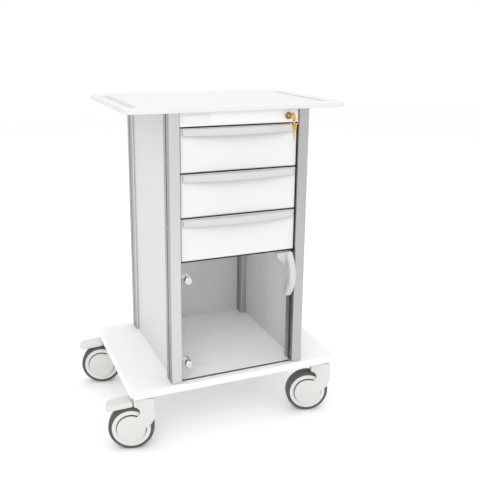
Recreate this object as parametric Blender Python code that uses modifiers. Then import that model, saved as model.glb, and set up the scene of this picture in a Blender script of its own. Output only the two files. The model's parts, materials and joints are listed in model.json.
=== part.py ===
"""Mobile bedside cart: three drawers over a clear-doored compartment, on a wheeled base plate.

Metres, +Z up, the front faces -Y. The whole cart hangs under one empty, which puts the middle of
the cart's footprint, wheels and key included, at the origin on the floor.
"""

import math

import bmesh
import bpy
from mathutils import Matrix

# Clearances
FIT = 0.0003              # between pieces that rest on, fill or hold each other
SLIDE_PLAY = 0.0005       # between a drawer runner and its rail
SWIVEL_PLAY = 0.0005      # between turning caster pieces
SPARE = 0.010             # how far a cutter runs past the face it cuts

# Worktop
TOP_WIDTH = 0.610
TOP_DEPTH = 0.446
TOP_HEIGHT = 0.921
TOP_THICKNESS = 0.014
TOP_CORNER = 0.028
TOP_EDGE_ROUND = 0.003
RIM_WIDTH = 0.013
FIELD_DROP = 0.002
SLOT_LENGTH = 0.340
SLOT_WIDTH = 0.022
SLOT_INSET = 0.035        # from the worktop's side edge to the middle of the hand slot

# Base plate
BASE_WIDTH = 0.622
BASE_DEPTH = 0.454
BASE_THICKNESS = 0.020
BASE_CORNER = 0.024
BASE_EDGE_ROUND = 0.007

# Frame posts and panels
CABINET_WIDTH = 0.390
CABINET_DEPTH = 0.426
POST_WIDTH = 0.030
POST_DEPTH = 0.050
POST_ROUND = 0.004
GROOVE_WIDTH = 0.006
GROOVE_DEPTH = 0.004
CORE_WIDTH = 0.014        # hollow inside each post
CORE_DEPTH = 0.026
CORE_ROUND = 0.002
PANEL_THICKNESS = 0.004
PANEL_INSET = 0.008       # from the cabinet's outer face to the panel's outer face
PANEL_BITE = 0.007        # how far a panel's edge enters its post

# Drawers
FRONT_RECESS = 0.009      # drawer fronts and door lie this far behind the posts' front faces
FRONT_SIDE_GAP = 0.0025
FRONT_GAP = 0.0044
DRAWER_FRONT_HEIGHT = 0.113
DRAWER_FRONT_THICKNESS = 0.014
FRONT_EDGE_ROUND = 0.002
DRAWER_NAMES = ("top", "middle", "bottom")
BOX_WALL = 0.002
BOX_LENGTH = 0.348
BOX_HEIGHT = 0.082
BOX_LIFT = 0.008          # from the front's lower edge to the box's underside
RUNNER_HEIGHT = 0.019
RUNNER_WALL = 0.0025
RUNNER_FLANGE = 0.003
RUNNER_DEPTH = 0.0104     # from the drawer box out to the open side
RAIL_BITE = 0.0074        # how far the fixed rail enters the runner
RAIL_LIFT = 0.045         # from the front's lower edge to the rail's middle
BRACKET_THICKNESS = 0.0015
PULL_HEIGHT = 0.018
PULL_END_DEPTH = 0.005
PULL_BOW = 0.016
PULL_WALL = 0.0035
PULL_ROOF = 0.005
PULL_EDGE_ROUND = 0.0015
PULL_END_GAP = 0.0045     # from the drawer front's side edge
PULL_DROP = 0.001         # from the drawer front's upper edge

# Fascia, badge and lock
FASCIA_HEIGHT = 0.036
FASCIA_THICKNESS = 0.020
FASCIA_PROUD = 0.003      # in front of the drawer fronts
FASCIA_EDGE_ROUND = 0.0015
BADGE_WIDTH = 0.074
BADGE_HEIGHT = 0.022
BADGE_THICKNESS = 0.0012
BADGE_INSET = 0.007
BADGE_CORNER = 0.003
LOCK_INSET = 0.030        # from the opening's right side to the lock's axis
LOCK_RIM_RADIUS = 0.009
LOCK_RIM_DEPTH = 0.006
LOCK_RIM_CHAMFER = 0.001
LOCK_BODY_RADIUS = 0.0074
LOCK_BODY_DEPTH = 0.022
PLUG_RADIUS = 0.0045
PLUG_PROUD = 0.0008
CAM_LENGTH = 0.034
CAM_WIDTH = 0.010
CAM_THICKNESS = 0.002
KEY_THICKNESS = 0.0018
KEY_BLADE_HALF = 0.0032
KEY_BLADE_IN = 0.020
KEY_BOW_RADIUS = 0.0115
KEY_BOW_REACH = 0.025     # from the lock's face to the middle of the key's head
KEY_HOLE_RADIUS = 0.0026
KEY_HOLE_OUT = 0.004

# Shelf, door and hinges
SHELF_THICKNESS = 0.003
SHELF_DROP = 0.0013       # from the lowest drawer front to the shelf
DOOR_THICKNESS = 0.005
DOOR_BOTTOM_GAP = 0.003
DOOR_SHELF_GAP = 0.0008
HINGE_EDGE = 0.017        # from the door's side edge to the pin
HINGE_BEHIND = 0.006      # from the door's front face to the pin
HINGE_FROM_END = 0.047    # from the door's upper or lower edge to a hinge
CAP_RADIUS = 0.0105
CAP_HEIGHT = 0.009
CAP_CHAMFER = 0.002
CUP_RADIUS = 0.0077
CUP_END = 0.004           # how far the cup runs behind the pin
PIN_RADIUS = 0.0015
PIN_PLAY = 0.0003
PIN_BITE = 0.001          # how far the pin enters the cup at each end
EYE_RADIUS = 0.0034
ARM_THICKNESS = 0.0035
ARM_HEIGHT = 0.0076
EYE_GAP = 0.0004
ARM_REACH = 0.0105        # along the slanted part of the arm
ARM_BACK = 0.028          # from the pin back to the part that runs to the post
ARM_FOOT = 0.016
DOOR_PULL_WIDTH = 0.020
DOOR_PULL_HEIGHT = 0.128
DOOR_PULL_BOW = 0.026
DOOR_PULL_SEAT = 0.007
DOOR_PULL_BAR = 0.008
DOOR_PULL_ROUND = 0.002
GRIP_ROOT = 0.004         # the finger gap's depth where it begins and ends
DOOR_PULL_EDGE = 0.0035   # from the door's free edge
DOOR_PULL_TOP = 0.001     # from the door's upper edge
DOOR_PULL_FOOT = 0.024
FLANGE_LENGTH = 0.048
FLANGE_HEIGHT = 0.016
FLANGE_THICKNESS = 0.005
FLANGE_INSET = 0.003
FLANGE_DROP = 0.001
CATCH_SIZE = (0.030, 0.013, 0.012)
CATCH_INSET = 0.018
CATCH_GAP = 0.0015

# Casters
WHEEL_RADIUS = 0.0625
TYRE_DEPTH = 0.010
TYRE_HALF = 0.0150
RIM_HALF = 0.0162
RIM_BAND = 0.0115         # the light ring inside the tyre
RIM_CHAMFER = 0.001
TYRE_SHOULDER = 0.005
WEB_HALF = 0.0080
AXLE_RADIUS = 0.0060
HUB_COVER_GAP = 0.002     # from the hub cover to the ring
HUB_BOSS_STEP = 0.0018    # the boss behind the hub cover is this much smaller
BOSS_BITE = 0.002         # how far joined solids enter each other
FORK_ARM_IN = 0.0175
FORK_ARM_OUT = 0.0225
HOUSING_RADIUS = 0.0280
WHEEL_HEADROOM = 0.0030
HOUSING_RISE = 0.0287     # the housing's top above the tyre's top
ARM_STEP = 0.0006         # the fork arms stop this far below the housing's top
ARM_CHAMFER = 0.002
NECK_ANGLE = 62           # where the arm leaves the hub cover, degrees above level
NECK_RUN = 0.0176
NECK_RISE = 0.006         # from the housing's underside to the top of the neck
HEEL_RADIUS = 0.030
HEEL_HEIGHT = 0.036       # above the axle
HEEL_TURN = 35            # degrees of the heel's arc
HEEL_MEETS = 15           # where the heel meets the hub cover, degrees above level
TRAIL = 0.0365
CASTER_SIDE_INSET = 0.0435
CASTER_END_INSET = 0.0325
TRAIL_ANGLE = math.radians(17)
COLLAR_RADIUS = 0.022
COLLAR_THICKNESS = 0.0025
STUD_RADIUS = 0.006
STUD_DEPTH = 0.012
SPIGOT_RADIUS = 0.008
SPIGOT_DEPTH = 0.012
PEDAL_WIDTH = 0.045
PEDAL_THICKNESS = 0.015
PEDAL_LENGTH = 0.074
PEDAL_TILT = math.radians(11)
PEDAL_CORNER = 0.016
PEDAL_EDGE_ROUND = 0.003
PEDAL_ROOT_GAP = 0.003
PEDAL_LUG = 0.022
PEDAL_LUG_LENGTH = 0.012
PEDAL_LUG_RADIUS = 0.005
PEDAL_PIVOT_IN = 0.008    # from the housing's side to the pedal's pivot
PEDAL_PIVOT_DOWN = 0.014  # from the housing's top to the pedal's pivot
PEDAL_POCKET_HALF = 0.0085
PEDAL_POCKET_SPARE = 0.0015

# Derived places shared by several pieces
HOUSING_TOP = WHEEL_RADIUS + HOUSING_RISE            # above the axle, as the next three are
ARM_TOP = HOUSING_TOP - ARM_STEP
BRIDGE_BOTTOM = WHEEL_RADIUS + WHEEL_HEADROOM
RIM_INNER_RADIUS = WHEEL_RADIUS - TYRE_DEPTH - RIM_BAND
HUB_COVER_RADIUS = RIM_INNER_RADIUS - HUB_COVER_GAP
TOP_UNDER = TOP_HEIGHT - TOP_THICKNESS
BASE_UNDER = WHEEL_RADIUS + HOUSING_TOP + SWIVEL_PLAY + COLLAR_THICKNESS + FIT
BASE_TOP = BASE_UNDER + BASE_THICKNESS
POST_HEIGHT = TOP_UNDER - BASE_TOP - 2 * FIT
CABINET_FRONT = -CABINET_DEPTH / 2
OPENING_HALF = CABINET_WIDTH / 2 - POST_WIDTH
POST_X = CABINET_WIDTH / 2 - POST_WIDTH / 2
POST_Y = CABINET_DEPTH / 2 - POST_DEPTH / 2
PANEL_X = CABINET_WIDTH / 2 - PANEL_INSET - PANEL_THICKNESS / 2
PANEL_Y = CABINET_DEPTH / 2 - PANEL_INSET - PANEL_THICKNESS / 2
FRONT_Y = CABINET_FRONT + FRONT_RECESS
FASCIA_BOTTOM = TOP_UNDER - FASCIA_HEIGHT
DRAWER_PITCH = DRAWER_FRONT_HEIGHT + FRONT_GAP
DRAWERS_TOP = FASCIA_BOTTOM - FRONT_GAP
DRAWERS_BOTTOM = DRAWERS_TOP - len(DRAWER_NAMES) * DRAWER_PITCH + FRONT_GAP
FRONT_HALF = OPENING_HALF - FRONT_SIDE_GAP
SHELF_TOP = DRAWERS_BOTTOM - SHELF_DROP
DOOR_TOP = SHELF_TOP - SHELF_THICKNESS - DOOR_SHELF_GAP
DOOR_BOTTOM = BASE_TOP + DOOR_BOTTOM_GAP
BRACKET_INNER = OPENING_HALF - FIT - BRACKET_THICKNESS
BOX_HALF = BRACKET_INNER - SLIDE_PLAY - RUNNER_DEPTH - FIT
BOX_FRONT = FRONT_Y + DRAWER_FRONT_THICKNESS + FIT
PIN_X = -FRONT_HALF + HINGE_EDGE
PIN_Y = FRONT_Y + HINGE_BEHIND
FASCIA_FRONT = FRONT_Y - FASCIA_PROUD
LOCK_X = OPENING_HALF - LOCK_INSET
LOCK_Z = FASCIA_BOTTOM + FASCIA_HEIGHT / 2
LOCK_FACE = FASCIA_FRONT - LOCK_RIM_DEPTH
SWIVEL_X = BASE_WIDTH / 2 - CASTER_SIDE_INSET
SWIVEL_Y = BASE_DEPTH / 2 - CASTER_END_INSET

# The footprint's reach, which centres the origin
PEDAL_END = HOUSING_RADIUS + PEDAL_ROOT_GAP + PEDAL_LENGTH


def caster_reach(along, across):
    """How far a braked caster reaches from its swivel; along and across are shares of its trail's line."""
    pedal_corner = (PEDAL_END - PEDAL_CORNER) * along + (PEDAL_WIDTH / 2 - PEDAL_CORNER) * across
    tyre = (TRAIL + WHEEL_RADIUS) * along + TYRE_HALF * across
    return max(pedal_corner + PEDAL_CORNER, tyre)


REACH_LEFT = SWIVEL_X + caster_reach(math.cos(TRAIL_ANGLE), math.sin(TRAIL_ANGLE))
REACH_RIGHT = BASE_WIDTH / 2
REACH_FRONT = KEY_BOW_REACH + KEY_BOW_RADIUS - LOCK_FACE
REACH_BACK = SWIVEL_Y + caster_reach(math.sin(TRAIL_ANGLE), math.cos(TRAIL_ANGLE))
ORIGIN_SHIFT = ((REACH_LEFT - REACH_RIGHT) / 2, (REACH_FRONT - REACH_BACK) / 2, 0)

SIDES = (("left", -1), ("right", 1))
TURN_X = Matrix.Rotation(math.pi / 2, 4, "X")     # lays an upright outline: its Y becomes Z


# --- Scene, collections and materials ---

def clear_scene():
    for obj in list(bpy.data.objects):
        bpy.data.objects.remove(obj, do_unlink=True)


def new_collection(name):
    collection = bpy.data.collections.new(name)
    bpy.context.scene.collection.children.link(collection)
    return collection


def new_material(name, color, roughness, metallic=0.0, alpha=1.0):
    material = bpy.data.materials.new(name)
    material.use_nodes = True
    shader = material.node_tree.nodes["Principled BSDF"]
    shader.inputs["Base Color"].default_value = (*color, 1.0)
    shader.inputs["Roughness"].default_value = roughness
    shader.inputs["Metallic"].default_value = metallic
    shader.inputs["Alpha"].default_value = alpha
    material.diffuse_color = (*color, alpha)
    return material


clear_scene()
PARTS = new_collection("bedside_cart")
CUTTERS = new_collection("cutters")

WHITE_TOP = new_material("worktop_white", (0.90, 0.90, 0.89), 0.35)
WHITE_GLOSS = new_material("drawer_white", (0.91, 0.91, 0.91), 0.25)
WHITE_BASE = new_material("base_white", (0.89, 0.89, 0.88), 0.40)
POST_METAL = new_material("post_aluminium", (0.66, 0.67, 0.66), 0.38, 1.0)
PANEL_GREY = new_material("panel_grey_white", (0.76, 0.77, 0.77), 0.50)
PULL_GREY = new_material("pull_grey", (0.76, 0.75, 0.73), 0.45)
BOX_PAINT = new_material("drawer_box_paint", (0.80, 0.81, 0.81), 0.50)
STEEL = new_material("slide_steel", (0.60, 0.61, 0.62), 0.35, 1.0)
CHROME = new_material("hinge_chrome", (0.80, 0.80, 0.80), 0.12, 1.0)
CLEAR = new_material("clear_acrylic", (0.90, 0.92, 0.92), 0.05, 0.0, 0.2)
BRASS = new_material("lock_brass", (0.75, 0.53, 0.22), 0.30, 1.0)
BRONZE = new_material("lock_bronze", (0.42, 0.27, 0.15), 0.35, 1.0)
CASTER_GREY = new_material("caster_housing", (0.79, 0.78, 0.75), 0.45)
RIM_GREY = new_material("wheel_rim", (0.84, 0.83, 0.81), 0.40)
TYRE_GREY = new_material("tyre_rubber", (0.065, 0.075, 0.075), 0.75)

cart = bpy.data.objects.new("cart_frame", None)
cart.location = ORIGIN_SHIFT
PARTS.objects.link(cart)


# --- Shapes ---

def link(name, mesh, material=None, parent=cart, place=None, collection=PARTS):
    """Make an object from a mesh under a parent; place is its matrix in the parent's frame."""
    obj = bpy.data.objects.new(name, mesh)
    collection.objects.link(obj)
    obj.parent = parent
    if place is not None:
        obj.matrix_local = place
    if material is not None:
        mesh.materials.clear()
        mesh.materials.append(material)
    return obj


def empty(name, location, parent=cart, turn_z=0.0):
    """An axis marker that carries the pieces of one moving group."""
    marker = bpy.data.objects.new(name, None)
    PARTS.objects.link(marker)
    marker.parent = parent
    marker.location = location
    marker.rotation_euler = (0, 0, turn_z)
    return marker


def box_mesh(low, high):
    """A box between two corners."""
    shape = bmesh.new()
    bmesh.ops.create_cube(shape, size=1.0)
    size = [top - bottom for bottom, top in zip(low, high)]
    middle = [(top + bottom) / 2 for bottom, top in zip(low, high)]
    bmesh.ops.scale(shape, vec=size, verts=shape.verts)
    bmesh.ops.translate(shape, vec=middle, verts=shape.verts)
    mesh = bpy.data.meshes.new("box")
    shape.to_mesh(mesh)
    shape.free()
    return mesh


def rod_mesh(radius, start, end, sides=24):
    """A cylinder along Y between two values of Y, centred on the Y axis."""
    shape = bmesh.new()
    bmesh.ops.create_cone(shape, cap_ends=True, segments=sides, radius1=radius, radius2=radius,
                          depth=end - start)
    bmesh.ops.rotate(shape, matrix=Matrix.Rotation(math.pi / 2, 3, "X"), verts=shape.verts)
    bmesh.ops.translate(shape, vec=(0, (start + end) / 2, 0), verts=shape.verts)
    mesh = bpy.data.meshes.new("rod")
    shape.to_mesh(mesh)
    shape.free()
    return mesh


def post_mesh(radius, bottom, top, sides=24):
    """A cylinder along Z between two heights, centred on the Z axis."""
    mesh = rod_mesh(radius, bottom, top, sides)
    mesh.transform(Matrix.Rotation(math.pi / 2, 4, "X"))
    return mesh


def outline_mesh(points, low, high, holes=()):
    """A flat outline in XY, filled from Z = low to Z = high; holes are inner outlines."""
    curve = bpy.data.curves.new("outline", "CURVE")
    curve.dimensions = "2D"
    curve.fill_mode = "BOTH"
    curve.extrude = (high - low) / 2
    for loop in (points, *holes):
        spline = curve.splines.new("POLY")
        spline.points.add(len(loop) - 1)
        for point, (x, y) in zip(spline.points, loop):
            point.co = (x, y, 0, 1)
        spline.use_cyclic_u = True
    holder = bpy.data.objects.new("outline", curve)
    CUTTERS.objects.link(holder)
    graph = bpy.context.evaluated_depsgraph_get()
    mesh = bpy.data.meshes.new_from_object(holder.evaluated_get(graph))
    bpy.data.objects.remove(holder, do_unlink=True)
    shape = bmesh.new()
    shape.from_mesh(mesh)
    bmesh.ops.remove_doubles(shape, verts=shape.verts, dist=0.000001)
    bmesh.ops.recalc_face_normals(shape, faces=shape.faces)
    bmesh.ops.translate(shape, vec=(0, 0, (low + high) / 2), verts=shape.verts)
    shape.to_mesh(mesh)
    shape.free()
    return mesh


def arc(centre_x, centre_y, radius, start, end, pieces):
    """Points along an arc; angles in degrees, end point included."""
    points = []
    for step in range(pieces + 1):
        angle = math.radians(start + (end - start) * step / pieces)
        points.append((centre_x + radius * math.cos(angle), centre_y + radius * math.sin(angle)))
    return points


def round_rectangle(width, depth, radius, pieces=5):
    """A rectangle about the origin with round corners."""
    x = width / 2 - radius
    y = depth / 2 - radius
    return (arc(x, y, radius, 0, 90, pieces) + arc(-x, y, radius, 90, 180, pieces)
            + arc(-x, -y, radius, 180, 270, pieces) + arc(x, -y, radius, 270, 360, pieces))


def add_tool(name, mesh, parent=cart, place=None):
    """A guide shape that cuts or extends a part."""
    obj = link(name, mesh, None, parent, place, CUTTERS)
    obj.hide_render = True
    obj.display_type = "WIRE"
    return obj


def combine(target, tool, operation="DIFFERENCE"):
    modifier = target.modifiers.new(tool.name, "BOOLEAN")
    modifier.operation = operation
    modifier.object = tool


def round_edges(obj, width, pieces=2):
    modifier = obj.modifiers.new("round_edges", "BEVEL")
    modifier.width = width
    modifier.segments = pieces
    modifier.limit_method = "ANGLE"
    modifier.angle_limit = math.radians(40)


def smooth(obj):
    obj.data.shade_smooth()
    obj.data.set_sharp_from_angle(angle=math.radians(35))


def turn_profile(name, profile, material, parent, steps=24, closed=False):
    """A turned piece about the parent's Y axis, from (radius, along) points, outer side downwards."""
    count = len(profile)
    edges = [(i, i + 1) for i in range(count - 1)]
    if closed:
        edges.append((count - 1, 0))
    mesh = bpy.data.meshes.new(name)
    mesh.from_pydata([(radius, 0, along) for radius, along in profile], edges, [])
    obj = link(name, mesh, material, parent, Matrix.Rotation(-math.pi / 2, 4, "X"))
    screw = obj.modifiers.new("turn", "SCREW")
    screw.steps = steps
    screw.render_steps = steps
    screw.use_merge_vertices = True
    screw.merge_threshold = 0.00001
    screw.use_smooth_shade = True
    return obj


# --- Worktop and base ---

def make_worktop():
    slab = outline_mesh(round_rectangle(TOP_WIDTH, TOP_DEPTH, TOP_CORNER), TOP_UNDER, TOP_HEIGHT)
    worktop = link("worktop", slab, WHITE_TOP)
    round_edges(worktop, TOP_EDGE_ROUND)
    field = outline_mesh(
        round_rectangle(TOP_WIDTH - 2 * RIM_WIDTH, TOP_DEPTH - 2 * RIM_WIDTH, TOP_CORNER - RIM_WIDTH),
        TOP_HEIGHT - FIELD_DROP, TOP_HEIGHT + FIELD_DROP)
    combine(worktop, add_tool("field_cutter", field))
    slot = round_rectangle(SLOT_WIDTH, SLOT_LENGTH, SLOT_WIDTH / 2 - FIT)
    for side, sign in SIDES:
        cutter = outline_mesh(slot, TOP_UNDER - TOP_THICKNESS, TOP_HEIGHT + TOP_THICKNESS)
        cutter.transform(Matrix.Translation((sign * (TOP_WIDTH / 2 - SLOT_INSET), 0, 0)))
        combine(worktop, add_tool("slot_cutter_" + side, cutter))


def make_base():
    slab = outline_mesh(round_rectangle(BASE_WIDTH, BASE_DEPTH, BASE_CORNER), BASE_UNDER, BASE_TOP)
    base = link("base_plate", slab, WHITE_BASE)
    round_edges(base, BASE_EDGE_ROUND)
    for end, sign_y in (("front", -1), ("back", 1)):
        for side, sign_x in SIDES:
            hole = post_mesh(STUD_RADIUS + FIT, BASE_UNDER - STUD_DEPTH, BASE_UNDER + STUD_DEPTH + FIT, 16)
            hole.transform(Matrix.Translation((sign_x * SWIVEL_X, sign_y * SWIVEL_Y, 0)))
            combine(base, add_tool(f"stud_hole_{end}_{side}", hole))


# --- Posts and panels ---

def notch(at, half, depth):
    """The four points of a groove in an edge, as (position along the edge, depth)."""
    return ((at - half, 0), (at - half, depth), (at + half, depth), (at + half, 0))


def post_outline(back_slot):
    """Section of the front left post about its own middle: -X is outside, +Y faces the back."""
    x = POST_WIDTH / 2
    y = POST_DEPTH / 2
    slot_half = PANEL_THICKNESS / 2 + FIT
    slot_depth = PANEL_BITE + FIT
    points = arc(-x + POST_ROUND, -y + POST_ROUND, POST_ROUND, 180, 270, 3)
    points += arc(x - POST_ROUND, -y + POST_ROUND, POST_ROUND, 270, 360, 3)
    if back_slot:
        slot_at = PANEL_Y - POST_Y
        points += [(x - deep, -at) for at, deep in notch(slot_at, slot_half, slot_depth)][::-1]
    points += [(x - deep, at) for at, deep in notch(0, GROOVE_WIDTH / 2, GROOVE_DEPTH)]
    points += arc(x - POST_ROUND, y - POST_ROUND, POST_ROUND, 0, 90, 3)
    panel_at = -(PANEL_X - POST_X)
    points += [(at, y - deep) for at, deep in notch(panel_at, slot_half, slot_depth)][::-1]
    points += arc(-x + POST_ROUND, y - POST_ROUND, POST_ROUND, 90, 180, 3)
    points += [(-x + deep, at) for at, deep in notch(0, GROOVE_WIDTH / 2, GROOVE_DEPTH)][::-1]
    return points


def make_posts():
    for end, sign_y in (("front", -1), ("back", 1)):
        for side, sign_x in SIDES:
            outline = [(-sign_x * x, -sign_y * y) for x, y in post_outline(end == "back")]
            core = round_rectangle(CORE_WIDTH, CORE_DEPTH, CORE_ROUND, 2)
            mesh = outline_mesh(outline, 0, POST_HEIGHT, (core,))
            place = Matrix.Translation((sign_x * POST_X, sign_y * POST_Y, BASE_TOP + FIT))
            smooth(link(f"post_{end}_{side}", mesh, POST_METAL, place=place))


def make_panels():
    inner_depth = POST_Y - POST_DEPTH / 2 + PANEL_BITE
    inner_width = OPENING_HALF + PANEL_BITE
    bottom = BASE_TOP + FIT
    top = TOP_UNDER - FIT
    half = PANEL_THICKNESS / 2
    for side, sign in SIDES:
        mesh = box_mesh((sign * PANEL_X - half, -inner_depth, bottom),
                        (sign * PANEL_X + half, inner_depth, top))
        link("side_panel_" + side, mesh, PANEL_GREY)
    mesh = box_mesh((-inner_width, PANEL_Y - half, bottom), (inner_width, PANEL_Y + half, top))
    link("back_panel", mesh, PANEL_GREY)


def make_shelf():
    back = PANEL_Y - PANEL_THICKNESS / 2 - FIT
    mesh = box_mesh((-OPENING_HALF + FIT, FRONT_Y + DOOR_THICKNESS + CATCH_GAP, SHELF_TOP - SHELF_THICKNESS),
                    (OPENING_HALF - FIT, back, SHELF_TOP))
    link("divider_shelf", mesh, PANEL_GREY)


# --- Fascia, badge and lock ---

def make_fascia():
    mesh = box_mesh((-OPENING_HALF + FIT, FASCIA_FRONT, FASCIA_BOTTOM),
                    (OPENING_HALF - FIT, FASCIA_FRONT + FASCIA_THICKNESS, TOP_UNDER - FIT))
    fascia = link("fascia", mesh, WHITE_GLOSS)
    round_edges(fascia, FASCIA_EDGE_ROUND, 1)
    bore = rod_mesh(LOCK_BODY_RADIUS + FIT, FASCIA_FRONT - SPARE, FASCIA_FRONT + FASCIA_THICKNESS + SPARE)
    combine(fascia, add_tool("lock_bore", bore, place=Matrix.Translation((LOCK_X, 0, LOCK_Z))))
    badge = outline_mesh(round_rectangle(BADGE_WIDTH, BADGE_HEIGHT, BADGE_CORNER, 3), 0, BADGE_THICKNESS)
    middle = -OPENING_HALF + BADGE_INSET + BADGE_WIDTH / 2
    place = Matrix.Translation((middle, FASCIA_FRONT - FIT, LOCK_Z)) @ TURN_X
    link("badge_plate", badge, BOX_PAINT, place=place)


def make_lock():
    barrel_axis = empty("lock_barrel_axis", (LOCK_X, 0, LOCK_Z))
    bore = PLUG_RADIUS + FIT
    shoulder = FASCIA_FRONT - FIT
    tail = FASCIA_FRONT + LOCK_BODY_DEPTH
    turn_profile("lock_barrel", [
        (bore, tail), (LOCK_BODY_RADIUS, tail), (LOCK_BODY_RADIUS, shoulder),
        (LOCK_RIM_RADIUS, shoulder), (LOCK_RIM_RADIUS, LOCK_FACE + LOCK_RIM_CHAMFER),
        (LOCK_RIM_RADIUS - LOCK_RIM_CHAMFER, LOCK_FACE), (bore, LOCK_FACE)], BRONZE, barrel_axis, closed=True)
    plug_axis = empty("key_turn", (LOCK_X, 0, LOCK_Z))
    plug = link("lock_plug", rod_mesh(PLUG_RADIUS, LOCK_FACE - PLUG_PROUD, tail, 20), BRONZE, plug_axis)
    half = KEY_THICKNESS / 2 + FIT
    keyway = box_mesh((-half, LOCK_FACE - SPARE, -KEY_BLADE_HALF - FIT),
                      (half, LOCK_FACE + KEY_BLADE_IN + FIT, KEY_BLADE_HALF + FIT))
    combine(plug, add_tool("keyway", keyway, plug_axis))
    cam_points = (arc(0, 0, CAM_WIDTH / 2, -90, 90, 6)
                  + arc(-CAM_LENGTH + CAM_WIDTH / 2, 0, CAM_WIDTH / 2, 90, 270, 6))
    cam = outline_mesh(cam_points, 0, CAM_THICKNESS)
    cam_place = Matrix.Translation((0, tail + FIT + CAM_THICKNESS, 0)) @ TURN_X
    link("lock_cam", cam, STEEL, plug_axis, cam_place)
    make_key(plug_axis)


def make_key(plug_axis):
    """The key's outline is drawn with X towards the user and Y up, then stood on edge."""
    meet = math.degrees(math.asin(KEY_BLADE_HALF / KEY_BOW_RADIUS))
    outline = arc(KEY_BOW_REACH, 0, KEY_BOW_RADIUS, meet - 180, 180 - meet, 20)
    outline += [(-KEY_BLADE_IN, KEY_BLADE_HALF), (-KEY_BLADE_IN, -KEY_BLADE_HALF)]
    hole = arc(KEY_BOW_REACH + KEY_HOLE_OUT, 0, KEY_HOLE_RADIUS, 0, 330, 11)
    mesh = outline_mesh(outline, -KEY_THICKNESS / 2, KEY_THICKNESS / 2, (hole,))
    place = (Matrix.Translation((0, LOCK_FACE, 0)) @ Matrix.Rotation(-math.pi / 2, 4, "Z") @ TURN_X)
    link("key", mesh, BRASS, plug_axis, place)


# --- Drawers ---

def pull_outline(inset, back):
    """Bowed outline in plan, shrunk by inset, its straight side at Y = back; the bow is a parabola."""
    half = FRONT_HALF - PULL_END_GAP - inset
    depth = PULL_END_DEPTH - inset
    points = [(-half, back), (half, back)]
    for step in range(13):
        x = half * (1 - step / 6)
        points.append((x, -depth - PULL_BOW * (1 - (x / half) ** 2)))
    return points


def make_pull(name, parent, top):
    body = outline_mesh(pull_outline(0, 0), top - PULL_HEIGHT, top)
    pull = link(name, body, PULL_GREY, parent, Matrix.Translation((0, -FIT, 0)))
    round_edges(pull, PULL_EDGE_ROUND, 1)
    hollow = outline_mesh(pull_outline(PULL_WALL, SPARE), top - PULL_HEIGHT - SPARE, top - PULL_ROOF)
    combine(pull, add_tool(name + "_hollow", hollow, parent))


def runner_outline(sign):
    """Channel section in X and Z about the rail's middle, open away from the drawer box."""
    web = BOX_HALF + FIT
    lip = web + RUNNER_DEPTH
    half = RUNNER_HEIGHT / 2
    inner = half - RUNNER_FLANGE
    points = [(web, -half), (lip, -half), (lip, -inner), (web + RUNNER_WALL, -inner),
              (web + RUNNER_WALL, inner), (lip, inner), (lip, half), (web, half)]
    return [(sign * x, z) for x, z in points]


def extrude_along_y(outline, start, end):
    """An outline in X and Z carried from one Y to another."""
    mesh = outline_mesh(outline, -end, -start)
    mesh.transform(TURN_X)
    return mesh


def drawer_bottom(index):
    return DRAWERS_TOP - DRAWER_FRONT_HEIGHT - index * DRAWER_PITCH


def make_drawer(index, name):
    bottom = drawer_bottom(index)
    slide = empty(f"drawer_{name}_slide", (0, FRONT_Y, 0))
    front = link(f"drawer_front_{name}", box_mesh(
        (-FRONT_HALF, 0, bottom),
        (FRONT_HALF, DRAWER_FRONT_THICKNESS, bottom + DRAWER_FRONT_HEIGHT)), WHITE_GLOSS, slide)
    round_edges(front, FRONT_EDGE_ROUND)
    make_pull(f"drawer_pull_{name}", slide, bottom + DRAWER_FRONT_HEIGHT - PULL_DROP)
    box_start = BOX_FRONT - FRONT_Y
    floor = bottom + BOX_LIFT
    box = link(f"drawer_box_{name}", box_mesh(
        (-BOX_HALF, box_start, floor),
        (BOX_HALF, box_start + BOX_LENGTH, floor + BOX_HEIGHT)), BOX_PAINT, slide)
    pocket = box_mesh((-BOX_HALF + BOX_WALL, box_start + BOX_WALL, floor + BOX_WALL),
                      (BOX_HALF - BOX_WALL, box_start + BOX_LENGTH - BOX_WALL, floor + BOX_HEIGHT + SPARE))
    combine(box, add_tool(f"drawer_pocket_{name}", pocket, slide))
    for side, sign in SIDES:
        outline = [(x, z + bottom + RAIL_LIFT) for x, z in runner_outline(sign)]
        mesh = extrude_along_y(outline, box_start, box_start + BOX_LENGTH)
        link(f"drawer_runner_{name}_{side}", mesh, STEEL, slide)


def make_slide_bracket(side, sign):
    """A plate from the front post to the back post with one rail for each drawer."""
    low = drawer_bottom(len(DRAWER_NAMES) - 1) + FIT
    plate = box_mesh((0, -POST_Y, low), (BRACKET_THICKNESS, POST_Y, FASCIA_BOTTOM - FIT))
    plate.transform(Matrix.Translation((BRACKET_INNER, 0, 0)))
    reach = BRACKET_INNER - RAIL_BITE
    rail_half = RUNNER_HEIGHT / 2 - RUNNER_FLANGE - SLIDE_PLAY
    bracket = link("slide_bracket_" + side, plate, STEEL)
    if sign < 0:
        flip_x(plate)
    for index, name in enumerate(DRAWER_NAMES):
        middle = drawer_bottom(index) + RAIL_LIFT
        rail = box_mesh((reach, BOX_FRONT, middle - rail_half),
                        (BRACKET_INNER + BRACKET_THICKNESS / 2, BOX_FRONT + BOX_LENGTH, middle + rail_half))
        if sign < 0:
            flip_x(rail)
        combine(bracket, add_tool(f"rail_{name}_{side}", rail), "UNION")


def flip_x(mesh):
    """Mirror a mesh to the other side and keep its faces pointing out."""
    mesh.transform(Matrix.Scale(-1, 4, (1, 0, 0)))
    mesh.flip_normals()


# --- Door and hinges ---

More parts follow.
